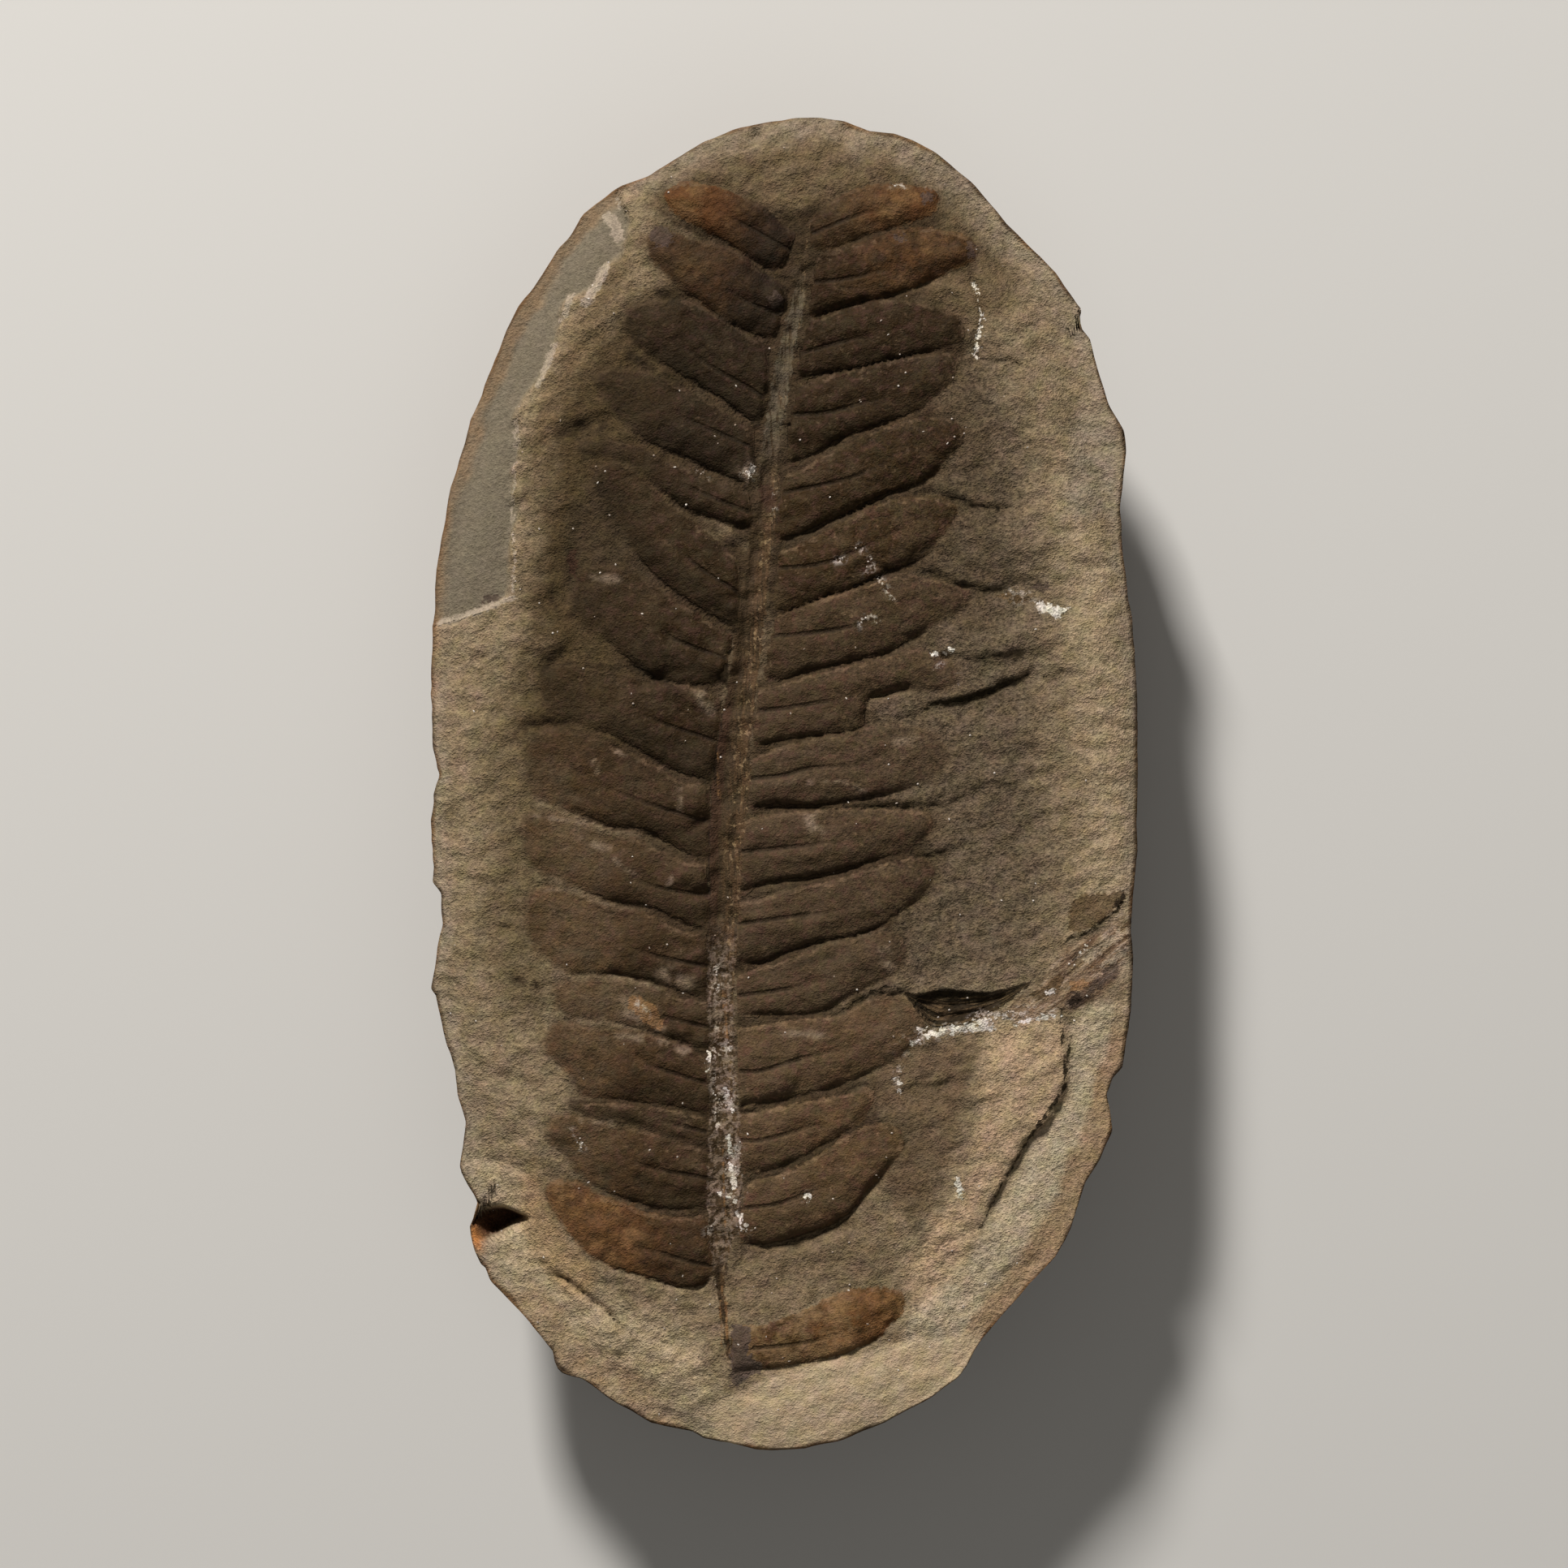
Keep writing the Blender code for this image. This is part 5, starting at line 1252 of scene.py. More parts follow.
def face_masks():
    """The named masks of the split face, and the distances for its sharp edges."""
    x, y = face_x, face_y
    drift = 0.8 * bumps(x, y, 3.0, 121)
    turn = np.degrees(np.arctan2(y, x))
    sway = 8 * bumps(x, y, 5.0, 135)
    rusty_rim = np.maximum(0.7 * ease(98, 112, turn + sway) * ease(172, 160, turn + sway),
                           ease(-78, -70, turn + sway) * ease(-22, -30, turn + sway))
    rusty_rim = np.maximum(rusty_rim, 0.6 * ease(-122, -116, turn + sway) * ease(-98, -104, turn + sway))
    tip = ease(0.25, 0.8, rib_share)
    worn = worn_share(leaf_id, rib_share)
    veins = ease(-0.1, 0.5, rough(x, y, 0.8, 129, 2))
    low_side = ease(0.1, 1.5, below_rib(leaf_id, off_rib)) * np.where(ON_RIGHT[leaf_id], 0.35, 1.0)
    # Painted shade in the gaps beside the stalk and between the pinnules.
    shade_by_stalk = ease(-2.6, -0.9, stalk_depth) * ease(-2.2, -0.5, leaf_depth) * ease(8, 16, y)
    shade_by_stalk = np.maximum(shade_by_stalk, 0.5 * ease(-2.0, -0.3, stalk_depth) * ease(-40.5, -37, y))
    shade_between_leaves = ease(-2.0, -0.3, next_depth) * ease(-2.2, -0.2, leaf_depth)
    near_frond = np.exp(np.minimum(leaf_depth, 0) / 0.9) * (1 - 0.85 * worn)
    rim_share = face_share + 0.025 * ease(-10, -30, y) + 0.010 * bumps(x, y, 1.8, 139)
    # Distances are cut off a few millimetres out, because the material needs no more of them.
    masks = {
        "edge": np.clip(np.maximum(leaf_depth, stalk_depth), -3, 3),
        "soft_edge": 0.12 + 0.45 * worn,
        "film": 1 - 0.3 * worn,
        # The between mask is painted shade in the gaps.
        "between": np.maximum(shade_by_stalk, shade_between_leaves) * (1 - 0.95 * worn),
        # open: painted shade in the crack under a pinnule; upper: a painted highlight on its lip.
        "open": open_share(leaf_id, leaf_round) * (1 - 0.6 * worn),
        "upper": ease(0.56, 0.46, leaf_round) * (1 - 0.5 * worn),
        "low_side": low_side * (1 - 0.5 * worn),
        "off_rib": np.clip(off_rib, -3, 3),
        "rib_base": ease(0.75, 0.25, rib_share) * ease(0.25, 0.6, leaf_depth),
        "film_tone": film_tone(),
        "stalk_depth": np.clip(stalk_depth, -2, 2),
        "stalk_side": np.clip(stalk_across, -1.5, 1.5),
        "stalk_grey": ease(24, 30, y) * ease(43, 39, y),
        "stalk_low": ease(10, 5, y) * ease(-14, -9, y),
        "stalk_pale": ease(-10, -17, y) * ease(-41, -38, y),
        "rusty": leaf_values(RUSTY, leaf_id) * (0.2 + 0.8 * tip),
        "golden": leaf_values(GOLDEN, leaf_id) * ease(0.98, 0.7, rib_share),
        "greyed": leaf_values(GREYED, leaf_id),
        "near_frond": near_frond * (0.2 + 0.8 * ease(-44, -38, y)),
        "grey": on_ledge,
        "mineral": line_mask(x, y, MINERAL_LINES) * veins,
        "dust": 0.10 + ease(-12, -28, y) * in_frond * ease(0.2, 0.9, rough(x, y, 1.6, 131, 2)),
        # Painted shade at the foot of the scarps and in the cracks.
        "scarp_shade": scarp_shade,
        # Painted shade in the dark pockets.
        "pocket_shade": line_mask(x, y, SHADED_POCKETS) * ease(-0.7, 0.1, rough(x, y, 0.6, 141, 2)),
        "bloom": line_mask(x, y, LIGHT_SPOTS) * ease(-0.7, 0.3, rough(x, y, 0.7, 137, 2)),
        "notch_lip": line_mask(x, y, [(NOTCH_LIP, 0.5)]),
        "rim": ease(0.945, 0.995, face_share + 0.012 * bumps(x, y, 2.0, 125)),
        "rusty_rim": rusty_rim * ease(0.966, 0.988, rim_share),
        "rind": ease(0.994, 1.0, face_share + 0.004 * bumps(x, y, 1.4, 127)),
    }
    for name, (outline, soft) in REGIONS.items():
        sway = drift if soft > 2 else 0
        masks[name] = inside(x + sway, y + sway, outline, soft)
    for name, lines in SHARP_LINES.items():
        masks[name] = line_gap(x, y, lines)
    for name, outlines in SHARP_PATCHES.items():
        depths = [depth_in(x, y, outline, NO_LINE) for outline in outlines]
        masks[name] = np.clip(-np.max(depths, axis=0), -NO_LINE, NO_LINE)
    # The scarps' edges join the crack lines, dark with painted shade.
    masks["open_crack"] = np.minimum(masks["open_crack"], scarp_gap)
    masks["fibre_across"], masks["fibre_along"] = fibre_place(x, y)
    return masks


# The back is all rind, and far outside the frond.
ON_THE_BACK = {"rim": 1.0, "rind": 1.0, "edge": -3.0, "soft_edge": 0.12, "stalk_depth": -2.0}
ON_THE_BACK.update({name: NO_LINE for name in list(SHARP_LINES) + list(SHARP_PATCHES)})
for name, values in face_masks().items():
    rest = ON_THE_BACK.get(name, 0.0)
    whole = np.concatenate([values, np.full(len(points) - len(values), rest)])
    stone_data.attributes.new(name, "FLOAT", "POINT").data.foreach_set("value", whole.astype(np.float32))
    print(f"mask {name}: mean {values.mean():.3f}")

# %% [markdown]
# ## Finishes
#
# Blender's Principled shader takes one colour, one roughness and one bump, and a network of nodes can
# vary them over the surface. The stone uses one material, because colour, stain and carbon film all lie
# on the same surface. It is built in layers like a painting: the bare stone, then stains, then the
# frond, then minerals. Every layer has a mask, and noise makes its edge ragged, as stains in stone are.

# %% Helpers for materials
# The sockets of the Mix node that are for colours: its share, the colours under and over, its result.
SHARE, UNDER, OVER, MIXED = 0, 6, 7, 2
# A stored distance is cut off this softly, in millimetres.
CUT = 0.07


def feed(tree, node, inputs):
    """Sets or links a node's inputs."""
    for key, value in inputs.items():
        if isinstance(value, bpy.types.NodeSocket):
            tree.links.new(value, node.inputs[key])
        else:
            node.inputs[key].default_value = value


def put(tree, kind, inputs=None, **settings):
    """Adds a node and sets its options and inputs. A kind without "Node" in it is a shader node."""
    made = tree.nodes.new(kind if "Node" in kind else "ShaderNode" + kind)
    for name, value in settings.items():
        setattr(made, name, value)
    feed(tree, made, inputs or {})
    return made


def maths(tree, operation, a, b=0.0, clamp=False):
    """One sum on one or two values."""
    return put(tree, "Math", {0: a, 1: b}, operation=operation, use_clamp=clamp).outputs[0]


def product(tree, a, b, clamp=False):
    """Two values multiplied."""
    return maths(tree, "MULTIPLY", a, b, clamp)


def added(tree, a, b, clamp=False):
    """Two values added."""
    return maths(tree, "ADD", a, b, clamp)


def lowered(tree, value, mask, share):
    """A value less a share of a mask."""
    return maths(tree, "SUBTRACT", value, product(tree, mask, share))


def swing_of(tree, noise, amount):
    """A noise that swings round 0, by half the amount to either side."""
    return product(tree, maths(tree, "SUBTRACT", noise, 0.5), amount)


def mixed(tree, share, under, over, blend="MIX"):
    """Two colours mixed in one of Blender's ways."""
    inputs = {SHARE: share, UNDER: under, OVER: over}
    return put(tree, "Mix", inputs, data_type="RGBA", blend_type=blend).outputs[MIXED]


def layer(tree, mask, under, over, strength=1.0):
    """Lays one colour over another where the mask says so, only as strongly as asked."""
    if strength != 1.0:
        mask = product(tree, mask, strength)
    under, over = [c if isinstance(c, bpy.types.NodeSocket) else (*c, 1) for c in (under, over)]
    return mixed(tree, mask, under, over)


def times(tree, colour, factors):
    """A colour with its red, green and blue multiplied by three values."""
    shift = put(tree, "CombineColor", dict(enumerate(factors))).outputs[0]
    return mixed(tree, 1.0, colour, shift, "MULTIPLY")


def mask_of(tree, name):
    """The mask or distance of that name from the mesh."""
    return put(tree, "Attribute", attribute_name=name).outputs["Fac"]


def step_up(tree, value, low_edge, high_edge, top=1.0):
    """0 below the low edge and `top` above the high edge."""
    inputs = {0: value, 1: low_edge, 2: high_edge, 4: top}
    return put(tree, "MapRange", inputs, interpolation_type="SMOOTHSTEP").outputs[0]


def noise_of(tree, place, size, detail=2.0):
    """Cloudy noise from 0 to 1 with features of that size in millimetres."""
    inputs = {"Vector": place, "Scale": 1 / size, "Detail": detail, "Roughness": 0.6}
    return put(tree, "TexNoise", inputs).outputs[0]


def moved(tree, place, offset, stretch=(1, 1, 1), turn=0.0, kind="POINT"):
    """A place shifted, turned and stretched, so that two noises of one size don't match."""
    inputs = {"Vector": place, "Location": offset, "Rotation": (0, 0, turn), "Scale": stretch}
    return put(tree, "Mapping", inputs, vector_type=kind).outputs[0]


def spots(tree, place, offset, size, detail, low_edge, high_edge, top=1.0):
    """Soft spots of one size, placed by a noise with an offset of its own."""
    return step_up(tree, noise_of(tree, moved(tree, place, offset), size, detail), low_edge, high_edge, top)


def ragged(tree, mask, noise, amount):
    """A mask whose soft edge wanders with a noise."""
    soft = product(tree, mask, maths(tree, "SUBTRACT", 1.0, mask))
    return added(tree, mask, product(tree, soft, swing_of(tree, noise, 8 * amount)), clamp=True)


def frayed(tree, name, fine, fray):
    """A sharp mask from a stored distance, its edge frayed by a fine noise."""
    return step_up(tree, added(tree, mask_of(tree, name), swing_of(tree, fine, fray)), CUT, -CUT)


def tinted(tree, colour, place, strength):
    """A colour that drifts from pinkish to olive and from cream to blue-grey in specks of a millimetre."""
    pink = swing_of(tree, noise_of(tree, moved(tree, place, (71, 12, 9)), 1.5, 5.0), strength)
    blue = swing_of(tree, noise_of(tree, moved(tree, place, (23, 57, 4)), 1.2, 5.0), strength)
    red = added(tree, 1.0, product(tree, pink, 0.65))
    cold = added(tree, 1.0, added(tree, product(tree, pink, 0.5), blue))
    return times(tree, colour, (red, 1.0, cold))


def new_material(name):
    """A material, its nodes, and the place on the piece in millimetres."""
    material = bpy.data.materials.new(name)
    material.use_nodes = True
    tree = material.node_tree
    here = put(tree, "TexCoord").outputs["Object"]
    place = put(tree, "VectorMath", {"Vector": here, "Scale": 1 / MM}, operation="SCALE").outputs[0]
    return material, tree, place


def to_shader(tree, colour, roughness, height, specular=0.5):
    """Sends a colour, a roughness and a height in millimetres to the shader."""
    bump = put(tree, "Bump", {"Height": height, "Distance": MM, "Strength": 1.0}).outputs[0]
    feed(tree, tree.nodes["Principled BSDF"], {"Base Color": colour, "Roughness": roughness, "Normal": bump,
                                               "Specular IOR Level": specular})


# %% [markdown]
# ## Grain, shared by the stone and its minerals
#
# Ironstone is hardened silt. Its grains, a few tenths of a millimetre across, glint and shade each
# other, so the surface is never one flat colour. The stone and the mineral grains both need this, each
# with its own grain size, so it is a node group: built once, placed in each material.

# %% Grain group


def grain_group():
    """Silt grain: a brightness near 1 to multiply a colour by, and a height in millimetres."""
    group = bpy.data.node_groups.new("silt_grain", "ShaderNodeTree")
    group.interface.new_socket("Place", in_out="INPUT", socket_type="NodeSocketVector")
    for name, value in (("Grain size", 0.4), ("Contrast", 0.4), ("Depth", 0.05)):
        group.interface.new_socket(name, in_out="INPUT", socket_type="NodeSocketFloat").default_value = value
    for name in ("Brightness", "Height"):
        group.interface.new_socket(name, in_out="OUTPUT", socket_type="NodeSocketFloat")
    given = put(group, "NodeGroupInput").outputs
    density = maths(group, "DIVIDE", 1.0, given["Grain size"])
    coarse = {"Vector": given["Place"], "Scale": density, "Detail": 2.0, "Roughness": 0.65}
    fine = {"Vector": given["Place"], "Scale": product(group, density, 2.7), "Detail": 1.0}
    coarse, fine = [put(group, "TexNoise", inputs).outputs[0] for inputs in (coarse, fine)]
    swing = swing_of(group, added(group, product(group, coarse, 0.65), product(group, fine, 0.35)), 2.0)
    bright = added(group, 1.0, product(group, swing, given["Contrast"]))
    put(group, "NodeGroupOutput", {"Brightness": bright, "Height": product(group, swing, given["Depth"])})
    return group


silt_grain = grain_group()
print(f"The grain group has {len(silt_grain.nodes)} nodes")


def add_grain(tree, place, size, contrast, depth):
    """Places the grain group in a material."""
    inputs = {"Place": place, "Grain size": size, "Contrast": contrast, "Depth": depth}
    made = put(tree, "Group", inputs, node_tree=silt_grain)
    return made.outputs["Brightness"], made.outputs["Height"]


# %% Colours of the stone, as linear red, green and blue
SAND = (0.235, 0.175, 0.105)
PINKISH = (0.275, 0.194, 0.126)
OLIVE_SPOT = (0.172, 0.130, 0.074)
CREAM = (0.300, 0.230, 0.145)
# Each layer over the bare silt: its mask, colour and strength.
STONE_LAYERS = [
    ("light", (0.36, 0.272, 0.17), 0.8), ("brown", (0.112, 0.076, 0.04), 0.8),
    ("left_halo", (0.122, 0.088, 0.045), 0.75), ("olive", (0.06, 0.039, 0.0165), 0.94),
    # The layer beside the right pinnules' tips is painted shade.
    ("stain", (0.116, 0.084, 0.053), 0.92), ("tip_hollow", (0.08, 0.056, 0.033), 0.65),
    ("grey_patch", (0.262, 0.212, 0.15), 0.75), ("umber", (0.19, 0.135, 0.08), 0.85),
    ("tip_shade", (0.135, 0.09, 0.052), 0.9), ("lit_field", (0.425, 0.302, 0.188), 0.85),
    ("ledge_foot", (0.13, 0.086, 0.044), 0.7), ("lower_left", (0.42, 0.325, 0.205), 0.85),
    ("warm_tip", (0.36, 0.235, 0.12), 0.7), ("lower_rim", (0.44, 0.356, 0.24), 0.92),
    # The layer between the pinnules is painted shade.
    ("near_frond", (0.07, 0.046, 0.024), 0.75), ("between", (0.036, 0.022, 0.011), 0.9),
    ("faded_film", (0.05, 0.034, 0.019), 0.7), ("rim", (0.29, 0.232, 0.166), 0.5),
    ("grey", (0.163, 0.136, 0.096), 0.95), ("rusty_rim", (0.285, 0.18, 0.098), 0.75),
    ("rust_band", (0.215, 0.142, 0.088), 0.7), ("pale", (0.56, 0.43, 0.275), 0.9),
    # The dark pockets layer is painted shade in hollows.
    ("crown", (0.04, 0.026, 0.013), 0.85), ("pocket_shade", (0.028, 0.018, 0.009), 0.9),
    # The layer at the foot of the scarps is painted shade.
    ("scarp_shade", (0.045, 0.033, 0.016), 0.6), ("notch", (0.07, 0.026, 0.01), 0.95),
    ("notch_lip", (0.42, 0.17, 0.05), 0.9),
]
# Each sharp layer over the stains: its stored distance, colour, strength and how frayed its edge is.
SHARP_LAYERS = [
    ("brown_chip", (0.1, 0.062, 0.029), 0.8, 1.2), ("orange_chip", (0.27, 0.14, 0.06), 0.6, 1.2),
    ("purple_chip", (0.066, 0.044, 0.034), 0.75, 1.5), ("grey_chip", (0.08, 0.057, 0.045), 0.85, 1.4),
    ("red_chip", (0.048, 0.024, 0.014), 0.8, 1.4), ("pale_chip", (0.42, 0.335, 0.24), 0.6, 1.6),
    # The ledge's wall is pale, with painted light where it faces the lamp.
    ("black_chip", (0.022, 0.014, 0.009), 0.9, 1), ("pale_lit_ledge_wall", (0.34, 0.275, 0.208), 0.8, 1),
    ("rust_line", (0.23, 0.12, 0.05), 0.8, 0.5),
]
UMBER = (0.037, 0.0200, 0.0065)
GREY_UMBER = (0.070, 0.0445, 0.024)
FILM_OLIVE = (0.054, 0.039, 0.016)
FILM_TAN = (0.082, 0.054, 0.028)
FILM_RED = (0.082, 0.038, 0.026)
# Pale flecks of the film, also laid as a painted highlight along the pinnules' upper lips.
FLECK_AND_LIP_HIGHLIGHT = (0.150, 0.096, 0.054)
FLAKED = (0.190, 0.135, 0.090)
RUST = (0.120, 0.049, 0.015)
GOLD_RUST = (0.162, 0.082, 0.031)
OLD_GOLD = (0.195, 0.124, 0.060)
STALK_BROWN = (0.046, 0.029, 0.014)
STALK_ORANGE = (0.082, 0.048, 0.023)
STALK_GOLD = (0.230, 0.155, 0.082)
STALK_RED = (0.056, 0.029, 0.016)
STALK_GREY = (0.092, 0.071, 0.045)
# Carbon black, also laid as painted shade in the frond's cracks, creases and pockets.
CARBON_AND_SHADE = (0.014, 0.009, 0.004)
LOW_SHADE = (0.022, 0.015, 0.006)
STALK_PALE = (0.230, 0.165, 0.120)
# The dark of the open cracks: painted shade, and the dark film in them.
CRACK_BLACK = (0.020, 0.014, 0.006)
LIT_FIBRE = (0.084, 0.054, 0.027)
STREAK_BROWN = (0.088, 0.050, 0.028)
STREAK_PALE = (0.400, 0.305, 0.225)
CRUST_WHITE = (0.67, 0.61, 0.53)
RIND_ORANGE = (0.165, 0.092, 0.044)
RIND_BROWN = (0.085, 0.055, 0.032)
MINERAL_WHITE = (0.50, 0.43, 0.36)
GRAIN_WHITE = (0.62, 0.56, 0.50)
GRAIN_TAN = (0.33, 0.25, 0.19)
# Each kind of spot in the film: its colour, offset, size, detail, low edge, high edge and strength.
FILM_SPOTS = [
    (FILM_OLIVE, (9, 4, 2), 0.9, 3.0, 0.48, 0.64, 0.45), (FILM_TAN, (51, 8, 7), 2.4, 4.0, 0.48, 0.62, 0.42),
    (FILM_RED, (17, 31, 5), 0.8, 3.0, 0.50, 0.66, 0.5), (FLECK_AND_LIP_HIGHLIGHT, (5, 61, 8), 0.45, 3.0, 0.58, 0.72, 0.55),
]
print(f"{len(STONE_LAYERS) + len(SHARP_LAYERS)} layers over the bare stone")

# %% Bare stone


def bare_stone(tree, place, broad, middle):
    """Tan silt with pinkish and olive mottling, and the stains and broken places over it."""
    warm = step_up(tree, noise_of(tree, place, 2.2, 4.0), 0.50, 0.66, 0.6)
    cool = spots(tree, place, (40, 7, 3), 1.9, 4.0, 0.49, 0.66, 0.75)
    colour = layer(tree, step_up(tree, broad, 0.45, 0.65, 0.5), SAND, CREAM)
    colour = layer(tree, cool, colour, OLIVE_SPOT)
    colour = layer(tree, warm, colour, PINKISH)
    for name, over, strength in STONE_LAYERS:
        colour = layer(tree, ragged(tree, mask_of(tree, name), middle, 0.6), colour, over, strength)
    return colour


def sharp_chips(tree, colour, fine):
    """The small chips and flakes with a crisp edge."""
    for name, over, strength, fray in SHARP_LAYERS:
        colour = layer(tree, frayed(tree, name, fine, fray), colour, over, strength)
    return colour


# %% Film of the frond and skin of the stalk


def film_lines(tree, edge):
    """Masks of three fine lines: the crack under a pinnule and the crease of its midrib, where shade is
    painted, and its lit upper lip, where a highlight is painted.
    """
    rim = product(tree, step_up(tree, edge, -0.42, -0.10), step_up(tree, edge, 0.22, -0.04))
    from_rib = maths(tree, "ABSOLUTE", mask_of(tree, "off_rib"))
    lit = product(tree, step_up(tree, edge, -0.02, 0.12), step_up(tree, edge, 0.5, 0.25))
    return (product(tree, mask_of(tree, "open"), rim),
            product(tree, mask_of(tree, "rib_base"), step_up(tree, from_rib, 0.28, 0.05)),
            product(tree, mask_of(tree, "upper"), lit))


def frond_film(tree, place, middle, lines):
    """The dark film of the pinnules: umber, greyer in the middle of the frond, and rusty at its tips, with
    painted shade in its cracks, creases and pockets and a painted highlight on its upper lips.
    """
    crack, crease, lip = lines
    colour = layer(tree, mask_of(tree, "greyed"), UMBER, GREY_UMBER)
    for over, *kind in FILM_SPOTS:
        colour = layer(tree, spots(tree, place, *kind), colour, over)
    colour = layer(tree, mask_of(tree, "low_side"), colour, LOW_SHADE, 0.45)
    rust = layer(tree, step_up(tree, noise_of(tree, place, 2.2, 3.0), 0.45, 0.62), RUST, GOLD_RUST)
    colour = layer(tree, ragged(tree, mask_of(tree, "rusty"), middle, 0.9), colour, rust)
    gold = spots(tree, place, (2, 14, 6), 1.5, 3.0, 0.36, 0.56)
    colour = layer(tree, mask_of(tree, "golden"), colour, OLD_GOLD, gold)
    # A painted highlight along each pinnule's lit upper lip.
    colour = layer(tree, lip, colour, FLECK_AND_LIP_HIGHLIGHT, step_up(tree, middle, 0.42, 0.60, 0.6))
    colour = times(tree, colour, [mask_of(tree, "film_tone")] * 3)
    colour = layer(tree, ragged(tree, mask_of(tree, "bloom"), middle, 1.2), colour, FLAKED)
    # Painted shade in the midrib's crease, the pockets and the crack under each lower edge.
    colour = layer(tree, maths(tree, "MAXIMUM", crease, mask_of(tree, "pocket_shade")), colour, CARBON_AND_SHADE, 0.6)
    return layer(tree, crack, colour, CARBON_AND_SHADE, 0.95)


def stalk_skin(tree, place, fine):
    """The stalk: brown and orange strands with gold grains, dark red low down on its left, grey at the top
    and pale with mineral near its foot."""
    strands = noise_of(tree, moved(tree, place, (0, 0, 0), (3.0, 0.35, 1), 0.14), 0.8, 4.0)
    side, low = mask_of(tree, "stalk_side"), mask_of(tree, "stalk_low")
    to_right = step_up(tree, side, -0.5, 0.6)
    orange = product(tree, step_up(tree, strands, 0.44, 0.58), added(tree, to_right, 0.25), clamp=True)
    colour = layer(tree, orange, STALK_BROWN, STALK_ORANGE)
    gold = spots(tree, place, (3, 8, 1), 0.44, 3.0, 0.56, 0.64, 0.75)
    colour = layer(tree, gold, colour, STALK_GOLD, to_right)
    placed = added(tree, side, swing_of(tree, strands, 0.8))
    colour = layer(tree, product(tree, step_up(tree, placed, -0.35, -0.5), low), colour, STALK_RED, 0.85)
    grey, pale = step_up(tree, strands, 0.35, 0.52), step_up(tree, fine, 0.43, 0.58, 0.75)
    colour = layer(tree, mask_of(tree, "stalk_grey"), colour, STALK_GREY, grey)
    colour = layer(tree, mask_of(tree, "stalk_pale"), colour, STALK_PALE, pale)
    return layer(tree, product(tree, step_up(tree, placed, -0.86, -0.98), low), colour, CARBON_AND_SHADE, 0.8)


# %% [markdown]
# ## Fibres, streaks and the whole stone
#
# Plant fibres lie side by side in the hollow at the right. The mesh stores how far each point is across
# and along the hollow, and noise that is packed across it and stretched along it draws threads that
# follow its bend. The broken corner below is streaked on a slant by a stretched noise too. Then all the
# layers are laid one over another, from the bare silt up to the mineral.

# %% Fibres and the broken corner


def fibre_threads(tree):
    """Fine threads that run from one end of the hollow to the other, none along its shaded upper edge."""
    across = mask_of(tree, "fibre_across")
    spread = put(tree, "CombineXYZ", {"X": product(tree, across, 3.2), "Y": mask_of(tree, "fibre_along")})
    threads = step_up(tree, noise_of(tree, spread.outputs[0], 0.36, 3.0), 0.45, 0.58)
    return product(tree, threads, step_up(tree, across, 0.06, 0.4))


def broken_corner(tree, colour, place):
    """Rusty and pale streaks that cross the broken corner on a slant."""
    streak = noise_of(tree, moved(tree, place, (0, 0, 0), (3.5, 0.45, 1), 0.66, "TEXTURE"), 0.9, 4.0)
    there = mask_of(tree, "rust_band")
    colour = layer(tree, there, colour, STREAK_BROWN, step_up(tree, streak, 0.50, 0.60, 0.8))
    return layer(tree, there, colour, STREAK_PALE, step_up(tree, streak, 0.47, 0.37, 0.8))


# %% Stone material
# How deep the cracks, creases and lips of the film, the open cracks and the threads lie, in millimetres.
# The ones below 0 stand up.
LINE_DEPTHS = (0.22, 0.10, -0.04, 0.15, -0.12)
GRAIN_SIZE, GRAIN_CONTRAST, GRAIN_DEPTH = 0.36, 1.25, 0.14


def stone_grain(tree, place, frond, lines):
    """The silt's brightness and height: milder on the film, the pale break and the ledge."""
    mild = lowered(tree, 1.0, frond, 0.25)
    for name, share in (("pale", 0.45), ("grey", 0.4)):
        mild = lowered(tree, mild, mask_of(tree, name), share)
    contrast = added(tree, product(tree, mild, GRAIN_CONTRAST), product(tree, mask_of(tree, "stain"), 0.6))
    slanted = moved(tree, place, (0, 0, 0), (0.92, 1.1, 1), -0.5)
    bright, height = add_grain(tree, slanted, GRAIN_SIZE, contrast, product(tree, mild, GRAIN_DEPTH))
    for line, depth in zip(lines, LINE_DEPTHS):
        height = lowered(tree, height, line, depth)
    return bright, height


